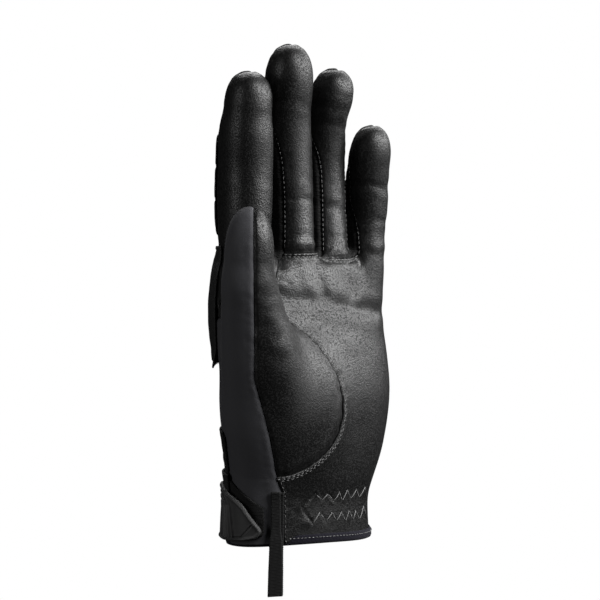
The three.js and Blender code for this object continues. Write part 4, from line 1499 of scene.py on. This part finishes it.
# Layers of the pull loop: the outer face's depth and height, and where its edges run on the sketch plane
LOOP_FRONT = [(38.1, 25.6, -13.4, -9.1), (37.2, 22, -13.4, -9.0), (36.6, 17, -13.4, -9.0),
              (36.1, 9, -13.5, -8.9), (36.2, 6, -13.8, -8.7), (36.5, 3.5, -14.2, -8.3),
              (36.3, -3, -14.4, -8.1), (36.0, -12, -14.8, -8.1), (35.9, -23.3, -15.1, -8.1)]
LOOP_BEHIND = [(37.1, 25.1, -12.6, -7.4), (36.2, 22, -12.6, -7.4), (35.6, 17, -12.6, -7.4),
               (35.1, 9, -12.8, -7.3), (35.2, 6, -13.2, -7.4), (35.5, 3.5, -13.9, -7.6),
               (35.3, -3, -14.2, -7.8), (35.0, -12, -14.6, -7.8), (34.9, -23.1, -15.0, -7.9)]
LOOP_LAYER = 0.95
WEFT_STEP, WEFT_HEIGHT, WARP_THREADS = 0.8, 0.012, 5
SELVAGE, SELVAGE_WANDER, SELVAGE_THINNER = 0.5, 0.12, 0.8
SELVAGE_WAVES = (7.1, 1.3, 6.3)


def from_sketch(across, depth, up):
    return across[..., None] * SKETCH_ACROSS + depth[..., None] * SKETCH_OUT + up[..., None] * UPWARDS


def webbing_strip(route, thick, steps=150, columns=17):
    """The two faces of a flat woven strip along a route, with a thick and thin weave and uneven selvages."""
    route = np.array(route, float)
    along = lengths_along(route[:, :2])
    at = np.linspace(0, along[-1], steps)
    depth, up, start, end = read_table(at, along, route).T
    one, two, three = SELVAGE_WAVES
    start = start + SELVAGE_WANDER * np.sin(at * one) * np.sin(at * two)
    end = end + SELVAGE_WANDER * np.sin(at * three + 2)
    ahead = unit(np.gradient(np.stack([depth, up], axis=1), axis=0))
    out = np.stack([-ahead[:, 1], ahead[:, 0]], axis=1)
    out *= np.sign(out[:, :1])
    share = np.linspace(0, 1, columns)
    across = start[:, None] + (end - start)[:, None] * share
    edge = np.minimum(share, 1 - share) * (end - start)[:, None]
    half = thick / 2 * np.sqrt(1 - np.clip(1 - edge / SELVAGE, 0, 1) ** 2 * SELVAGE_THINNER)
    weft = WEFT_HEIGHT * np.sin(at * 2 * math.pi / WEFT_STEP)[:, None]
    weave = weft * np.cos(share * 2 * math.pi * WARP_THREADS)
    sheets = []
    for side in (1, -1):
        rise = side * (half + weave) - thick / 2
        deep, high = depth[:, None] + rise * out[:, :1], up[:, None] + rise * out[:, 1:]
        sheets.append(from_sketch(across, deep, high))
    return sheets


def strip_solid(name, outer, inner, material):
    """A closed solid between two grids of points."""
    rows, columns = outer.shape[:2]
    index = np.arange(rows * columns).reshape(rows, columns)
    quads = np.stack([index[:-1, :-1], index[1:, :-1], index[1:, 1:], index[:-1, 1:]], axis=-1)
    quads = quads.reshape(-1, 4)
    size = rows * columns
    border = np.concatenate([index[:, 0], index[-1, 1:], index[-2::-1, -1], index[0, -2:0:-1]])
    after = np.roll(border, -1)
    rims = np.stack([border, border + size, after + size, after], axis=-1)
    points = np.vstack([outer.reshape(-1, 3), inner.reshape(-1, 3)])
    return mesh_object(name, points, [quads, quads[:, ::-1] + size, rims], [material], 0.0)


# Foam of the guard: thin border, swell of the middle, four knuckles and the flex grooves between them
GUARD_MIDDLE, GUARD_HALF_LENGTH = 108, 33
GUARD_BORDER, GUARD_RISE = 2.2, 5.0
GUARD_THIN, GUARD_SWELL = 1.5, 2.1
KNUCKLES = [(-31, 114), (-7, 112), (15, 108), (33, 104)]
KNUCKLE_SWELL, KNUCKLE_WIDTH, KNUCKLE_LENGTH = 0.9, 8.0, 14.0
FLEX_GROOVES = (-19, 4, 24)
FLEX_DEPTH, FLEX_WIDTH, FLEX_SLANT = 0.9, 1.1, 0.06
GUARD_SEAM_DEPTH, GUARD_SEAM_PLACE, GUARD_SEAM_WIDTH = 0.35, 2.0, 0.45
GUARD_UNEVENNESS = [(0.12, 6.0, 21), (0.06, 2.2, 22)]


def guard_height(guard):
    """Foam swells over the knuckles with flex grooves between them, inside a flat sewn border."""
    x, z = guard.points[:, 0], guard.points[:, 2]
    off = (z - GUARD_MIDDLE) / GUARD_HALF_LENGTH
    full = eased((guard.away - GUARD_BORDER) / GUARD_RISE)
    height = GUARD_THIN + GUARD_SWELL * np.maximum(1 - off * off, 0) * full
    for across, up in KNUCKLES:
        height += KNUCKLE_SWELL * full * bell(x - across, KNUCKLE_WIDTH) * bell(z - up, KNUCKLE_LENGTH)
    for across in FLEX_GROOVES:
        height -= FLEX_DEPTH * full * bell(x - across + FLEX_SLANT * (z - GUARD_MIDDLE), FLEX_WIDTH)
    height -= GUARD_SEAM_DEPTH * bell(guard.away - GUARD_SEAM_PLACE, GUARD_SEAM_WIDTH)
    for high, size, seed in GUARD_UNEVENNESS:
        height += high * noise(guard.points, size, seed)
    return height


FREE_BELOW, FREE_BESIDE, FREE_REACH, FREE_LIFT = 92, -24, 12, 2.2


def free_tip(points):
    """How far the guard's lower corner on the thumb's side stands off the hand."""
    low = eased((FREE_BELOW - points[:, 2]) / FREE_REACH)
    return FREE_LIFT * low * np.clip((FREE_BESIDE - points[:, 0]) / FREE_REACH, 0, 1)


PAD_BORDER, PAD_RISE = 1.2, 2.4
PAD_THIN, PAD_SWELL = 1.05, 0.55
PAD_GROOVES = (0.36, 0.68)
PAD_GROOVE_DEPTH, PAD_GROOVE_WIDTH = 0.5, 0.9
PAD_SEAM_DEPTH, PAD_SEAM_PLACE, PAD_SEAM_WIDTH = 0.2, 1.3, 0.35
PAD_UNEVENNESS, PAD_UNEVEN_SIZE = 0.05, 3.0


def pad_height(pad, low, high):
    """A thin foam pad with two flex grooves and a sewn edge."""
    height = PAD_THIN + PAD_SWELL * eased((pad.away - PAD_BORDER) / PAD_RISE)
    for share in PAD_GROOVES:
        height -= PAD_GROOVE_DEPTH * bell(pad.points[:, 2] - low - share * (high - low), PAD_GROOVE_WIDTH)
    height -= PAD_SEAM_DEPTH * bell(pad.away - PAD_SEAM_PLACE, PAD_SEAM_WIDTH)
    return height + PAD_UNEVENNESS * noise(pad.points, PAD_UNEVEN_SIZE, 23)


# Making the glove

LEATHER_PANELS = ("thumb_front", "index_front", "middle_front", "ring_front", "palm")


def finish_of(name):
    if name in LEATHER_PANELS:
        return LEATHER, "leather"
    if name == "thumb_back":
        return MATTE_CLOTH, "matte_cloth"
    return STRETCH_CLOTH, "stretch_cloth"


def make_panels():
    """The sewn panels. Gives their reliefs, the seams between them, and which panel a place belongs to."""
    points, faces = surface_mesh(GLOVE_LOW, GLOVE_HIGH)
    marks = np.full(len(faces), BACK)
    points, faces, marks = cut(points, faces, marks, lambda p: CUFF_EDGE - p[:, 2], BACK, BACK + 1)
    faces = faces[marks == BACK]
    marks = np.full(len(faces), BACK)
    for mark, (name, field) in enumerate(PANELS):
        points, faces, marks = cut(points, faces, marks, field, BACK, mark)
    marks = join_crumbs(faces, marks)
    used, faces = only_used(faces)
    points = points[used]
    lines = seam_lines(faces, marks)
    points = straighten_seams(points, lines)
    seams = {pair: [points[line] for line in found] for pair, found in lines.items()}
    points, faces, marks = refine(points, faces, marks, lines)
    normals = normals_of(glove_distance, points)
    panels = {}
    for mark, name in enumerate(NAMES):
        material, slot = finish_of(name)
        panels[name] = Panel(mark, points, lines)
        used, own = only_used(faces[marks == mark])
        base = pulled_in(points[used], own, EDGE_GAP)
        on_glove_body(panel_piece(panels[name], base, normals[used], own, material), name)
    owners = Nearest(points[faces].mean(axis=1))
    return panels, seams, lambda where: marks[owners(where)[1]]


# Rows of stitches: the panel sewn through, its neighbour, how far from the seam, pitch, length and radius
FINGER_ROW = (0.95, 2.3, 1.5, 0.19)
NEAR_ROW, FAR_ROW = (0.8, 2.2, 1.5, 0.19), (1.85, 2.2, 1.5, 0.19)
ROWS = [
    ("middle_front", "fourchette_index_middle", *FINGER_ROW),
    ("middle_front", "fourchette_middle_ring", *FINGER_ROW),
    ("ring_front", "fourchette_middle_ring", *FINGER_ROW),
    ("ring_front", "fourchette_ring_little", *FINGER_ROW),
    ("palm", "fourchette_ring_little", *FINGER_ROW),
    ("index_front", "fourchette_index_middle", *FINGER_ROW),
    ("palm", "middle_front", *NEAR_ROW),
    ("palm", "middle_front", *FAR_ROW),
    ("palm", "ring_front", *NEAR_ROW),
    ("palm", "ring_front", *FAR_ROW),
    ("palm", "fourchette_middle_ring", 1.0, 2.1, 1.5, 0.2),
    ("palm", "index_front", 1.1, 2.0, 1.2, 0.22),
    ("palm", "thumb_front", 1.0, 2.4, 1.6, 0.2),
    ("palm", "thumb_front", 2.1, 2.4, 1.6, 0.16),
    ("palm", "thumb_back", 1.0, 2.4, 1.5, 0.12),
]
SHORTEST_ROW, FEWEST_PLACES = 2.5, 6
# Round the fingertips the seams are turned in, and no thread shows
STITCHED_UP_TO = 0.55


def make_seam_stitches(panels, seams, owner_at):
    centres, normals, sizes = [], [], []
    for sewn, other, offset, pitch, length, radius in ROWS:
        mark = NAMES.index(sewn)
        for line in seams.get(tuple(sorted((mark, NAMES.index(other)))), []):
            if len(line) < FEWEST_PLACES or lengths_along(line)[-1] < SHORTEST_ROW * pitch:
                continue
            moved = beside(line, offset, lambda where: owner_at(where) == mark)
            row, up = stitched(panels[sewn].relief, moved, radius, pitch, length)
            shown = up[:, 2, 2] < STITCHED_UP_TO
            centres.append(row[shown])
            normals.append(up[shown])
            sizes.append(np.full(np.sum(shown), radius))
    points, faces = thread_pieces(np.vstack(centres), np.vstack(normals), np.concatenate(sizes))
    on_glove_body(mesh_object("seam_stitches", points, faces, [SEAM_THREAD]))


SEARCH_FROM, SEARCH_ROUNDS, SEARCH_SHARE, SEARCH_STEP = 30, 14, 0.9, 3


def on_palm_side(line, spacing):
    """Places on the sketch plane put on the palm side of the glove."""
    even, _ = resampled(np.array(line, float), spacing)
    places = even[:, :1] * SKETCH_ACROSS + even[:, 1:] * UPWARDS + SEARCH_FROM * SKETCH_OUT
    for _ in range(SEARCH_ROUNDS):
        step = np.clip(glove_distance(places), -SEARCH_STEP, SEARCH_STEP)
        places = places - step[:, None] * SKETCH_OUT * SEARCH_SHARE
    return places


def sewn_threads(name, strokes, lift, radius, material):
    """Single stitches, each given by the two places on the sketch plane where it goes through."""
    centres = []
    for stroke in strokes:
        line = on_palm_side(stroke, 0.1)
        centres.append(read_table(STITCH_PLACES, np.linspace(0, 1, len(line)), line))
    raised_centres, normals = raised(glove_distance, lift, np.array(centres), radius)
    points, faces = thread_pieces(raised_centres, normals, np.full(len(centres), radius))
    on_glove_body(mesh_object(name, points, faces, [material]))


THICK_THREAD, THIN_THREAD, SUNK = 0.24, 0.17, 0.1


def make_shirring(relief):
    """The two zigzag rows: strokes that rise lie on the leather and take a lighter thread as painted
    highlight, and those that fall sink into it and take the darker seam thread as painted shade.
    """
    strokes = [pair for line in (UPPER_ZIGZAG, LOWER_ZIGZAG) for pair in zip(line[:-1], line[1:])]
    rising = [pair for pair in strokes if pair[1][1] > pair[0][1]]
    falling = [pair for pair in strokes if pair[1][1] <= pair[0][1]]
    # Painted highlight: the rising strokes take the lighter thread
    sewn_threads("shirring_threads", rising, relief, THICK_THREAD, LIT_SHIRRING_THREAD)

    def sunk(where):
        return relief(where) - SUNK

    # Painted shade: the falling strokes take the darker seam thread
    sewn_threads("shirring_back_threads", falling, sunk, THIN_THREAD, SEAM_THREAD)


# How the overlays lie: their seat on the glove, the size of their mesh and how round their edges are
SEATED = 0.35
OVERLAY_MESH, CLOSURE_MESH, TAB_MESH = 0.9, 0.8, 0.38
GUARD_ROUNDING, PAD_ROUNDING, PILE_ROUNDING, STRAP_ROUNDING, TAB_ROUNDING = 1.4, 1.0, 0.5, 0.6, 0.7
GUARD_BOX = ((-62, 0, 72), (46, 34, 146))
CLOSURE_BOX = ((-50, -32, 0), (20, 26, 60))
STRAP_BOX = ((-52, -36, -3), (48, 32, 36))
TAB_BOX = ((-54, -38, -3), (10, 20, 34))
PAD_MARGIN, PAD_REACH, PAD_FRONT = 6, 4, -10


def make_knuckle_guard():
    guard = Patch(GUARD_BOX, OVERLAY_MESH, guard_field)
    free = free_tip(guard.points)
    top = guard_height(guard) + free
    piece = guard.lifted("knuckle_guard_foam", SEATED + free, top, GUARD_CLOTH, GUARD_ROUNDING)
    on_glove_body(piece, "knuckle_guard")


def make_finger_pads():
    for name, limb, low, high in PADS:
        x, y = limb.values[:, 0], limb.values[:, 1]
        reach = limb.values[:, 3:].max() + PAD_REACH
        box = ((x.min() - reach, PAD_FRONT, low - PAD_MARGIN),
               (x.max() + reach, y.max() + reach, high + PAD_MARGIN))
        pad = Patch(box, OVERLAY_MESH, pad_field(limb, low, high))
        piece = pad.lifted(name + "_foam", SEATED, pad_height(pad, low, high), PAD_CLOTH, PAD_ROUNDING)
        on_glove_body(piece, name)


STRAP_UNDER, STRAP_OVER = 1.7, 2.7
PILE, PILE_UNEVEN, PILE_SIZE = 1.15, 0.35, 4.5


def make_wrist_closure():
    """The loop cloth, the strap over it and the rubber tab on the strap's end."""
    closure = Patch(CLOSURE_BOX, CLOSURE_MESH, closure_field)
    pile = PILE + PILE_UNEVEN * noise(closure.points, PILE_SIZE, 31)
    loops = closure.lifted("closure_pile", SEATED, pile, LOOP_CLOTH, PILE_ROUNDING)
    on_glove_body(loops, "closure_panel")
    strap = Patch(STRAP_BOX, OVERLAY_MESH, strap_field)
    band = strap.lifted("wrist_strap_band", STRAP_UNDER, STRAP_OVER, STRAP_CLOTH, STRAP_ROUNDING)
    on_glove_body(band, "wrist_strap")
    tab = Patch(TAB_BOX, TAB_MESH, tab_field)
    top = TAB_TOP + tab_relief(tab.points + TAB_TOP * tab.normals, tab.away)
    rubber = tab.lifted("strap_tab_rubber", STRAP_OVER, top, RUBBER, TAB_ROUNDING)
    on_glove_body(rubber, "strap_tab")


def make_cuff_binding():
    points, quads = swept_ring(BINDING_PROFILE)
    tape = mesh_object("cuff_binding_tape", points, [quads], [BINDING_TAPE], 0.0)
    on_glove_body(tape, "cuff_binding")


def make_pull_loop():
    front = strip_solid("pull_loop_front", *webbing_strip(LOOP_FRONT, LOOP_LAYER), PULL_WEBBING)
    on_glove_body(front, "pull_loop")
    behind = strip_solid("pull_loop_behind", *webbing_strip(LOOP_BEHIND, LOOP_LAYER), PULL_WEBBING)
    on_glove_body(behind)


BINDING_STITCH_HEIGHT = 2.5
BINDING_STITCH_LIFT = 1.3
BINDING_STITCH_RADIUS, BINDING_STITCH_SINK = 0.17, 0.2
BINDING_STITCH_STEP = 3.1
BINDING_STITCH_DEGREES = np.array([0, 0.2, 1.0, 1.8, 2.0])


def make_binding_stitches():
    starts = np.arange(0, 360, BINDING_STITCH_STEP)
    turns = np.radians(starts[:, None] + BINDING_STITCH_DEGREES)
    places = np.array([round_cuff(turn, BINDING_STITCH_LIFT, BINDING_STITCH_HEIGHT) for turn in turns])
    outward = normals_of(PALM.distance, places.reshape(-1, 3)).reshape(-1, PLACES, 3)
    places += outward * BINDING_STITCH_SINK * np.array(STITCH_LIFTS)[:, None]
    points, faces = thread_pieces(places, outward, np.full(len(places), BINDING_STITCH_RADIUS))
    on_glove_body(mesh_object("binding_stitches", points, faces, [PALE_THREAD]))


panels, seams, owner_at = make_panels()
make_seam_stitches(panels, seams, owner_at)
make_shirring(panels["palm"].relief)
make_knuckle_guard()
make_finger_pads()
make_wrist_closure()
make_cuff_binding()
make_pull_loop()
make_binding_stitches()


# Camera, lights and floor

CAMERA_AZIMUTH, CAMERA_ELEVATION, CAMERA_DISTANCE = -36, 4, 0.9
CAMERA_LENS, SENSOR_WIDTH = 112.9, 36
MIDDLE_OF_GLOVE = 0.112
# Softboxes: azimuth, elevation, distance, width, height, watts, height aimed at and spread in degrees
SOFTBOXES = [
    ("Key", 19, 34, 1.3, 0.5, 0.45, 14, MIDDLE_OF_GLOVE, 180),
    ("Right", 76, 18, 1.3, 0.5, 0.5, 6.5, MIDDLE_OF_GLOVE, 180),
    ("High right", 98, 36, 1.3, 0.5, 0.5, 4, MIDDLE_OF_GLOVE, 180),
    ("Finger light", 42, 9, 0.47, 0.3, 0.2, 0.44, 0.2, 75),
    ("Left fill", -95, 8, 1.4, 0.4, 0.9, 3.6, MIDDLE_OF_GLOVE, 180),
    ("Back", 144, 52, 1.5, 1.2, 0.8, 20, MIDDLE_OF_GLOVE, 180),
]
SURROUNDING_LIGHT = 0.012
FLOOR_HEIGHT, FLOOR_REACH = -420, 4000
FLOOR_GREY = 0.75


def aimed(name, thing, azimuth, elevation, away, aim):
    """Puts a camera or a light at a distance from a height over the origin, turned towards it."""
    a, e = math.radians(azimuth), math.radians(elevation)
    target = Vector((0, 0, aim))
    made = bpy.data.objects.new(name, thing)
    outward = Vector((math.sin(a) * math.cos(e), -math.cos(a) * math.cos(e), math.sin(e)))
    made.location = target + away * outward
    made.rotation_euler = (target - made.location).to_track_quat("-Z", "Y").to_euler()
    bpy.context.scene.collection.objects.link(made)
    return made


def make_camera():
    lens = bpy.data.cameras.new("Camera")
    lens.sensor_width = SENSOR_WIDTH
    lens.lens = CAMERA_LENS
    bpy.context.scene.camera = aimed("Camera", lens, CAMERA_AZIMUTH, CAMERA_ELEVATION, CAMERA_DISTANCE,
                                     MIDDLE_OF_GLOVE)


def make_lights():
    for name, azimuth, elevation, away, width, height, watts, aim, spread in SOFTBOXES:
        light = bpy.data.lights.new(name, "AREA")
        light.shape = "RECTANGLE"
        light.size, light.size_y = width, height
        light.energy = watts
        light.spread = math.radians(spread)
        aimed(name, light, azimuth, elevation, away, aim)


def make_surroundings():
    world = bpy.data.worlds.new("Studio")
    bpy.context.scene.world = world
    world.use_nodes = True
    world.node_tree.nodes.clear()
    sky = Nodes(world.node_tree)
    seen = sky.add("ShaderNodeLightPath").outputs["Is Camera Ray"]
    white = sky.add("ShaderNodeBackground", {"Color": grey(1.0), "Strength": 1.0})
    dim = sky.add("ShaderNodeBackground", {"Color": grey(1.0), "Strength": SURROUNDING_LIGHT})
    both = sky.add("ShaderNodeMixShader", {0: seen, 1: dim.outputs[0], 2: white.outputs[0]})
    sky.add("ShaderNodeOutputWorld", {"Surface": both.outputs[0]})
    bpy.context.scene.view_settings.view_transform = "Standard"


def make_floor():
    """Pale paper that the camera sees as plain white."""
    material, nodes = new_material("Pale floor")
    seen = nodes.add("ShaderNodeLightPath").outputs["Is Camera Ray"]
    paper = nodes.add("ShaderNodeBsdfPrincipled", {"Base Color": grey(FLOOR_GREY), "Roughness": 0.9})
    lit = nodes.add("ShaderNodeEmission", {"Color": grey(1.0), "Strength": 1.0})
    both = nodes.add("ShaderNodeMixShader", {0: seen, 1: paper.outputs[0], 2: lit.outputs[0]})
    nodes.add("ShaderNodeOutputMaterial", {"Surface": both.outputs[0]})
    turns = ((-1, -1), (1, -1), (1, 1), (-1, 1))
    corners = np.array([(x * FLOOR_REACH, y * FLOOR_REACH, FLOOR_HEIGHT) for x, y in turns], float)
    mesh_object("floor", corners, [[[0, 1, 2, 3]]], [material])


make_camera()
make_lights()
make_surroundings()
make_floor()
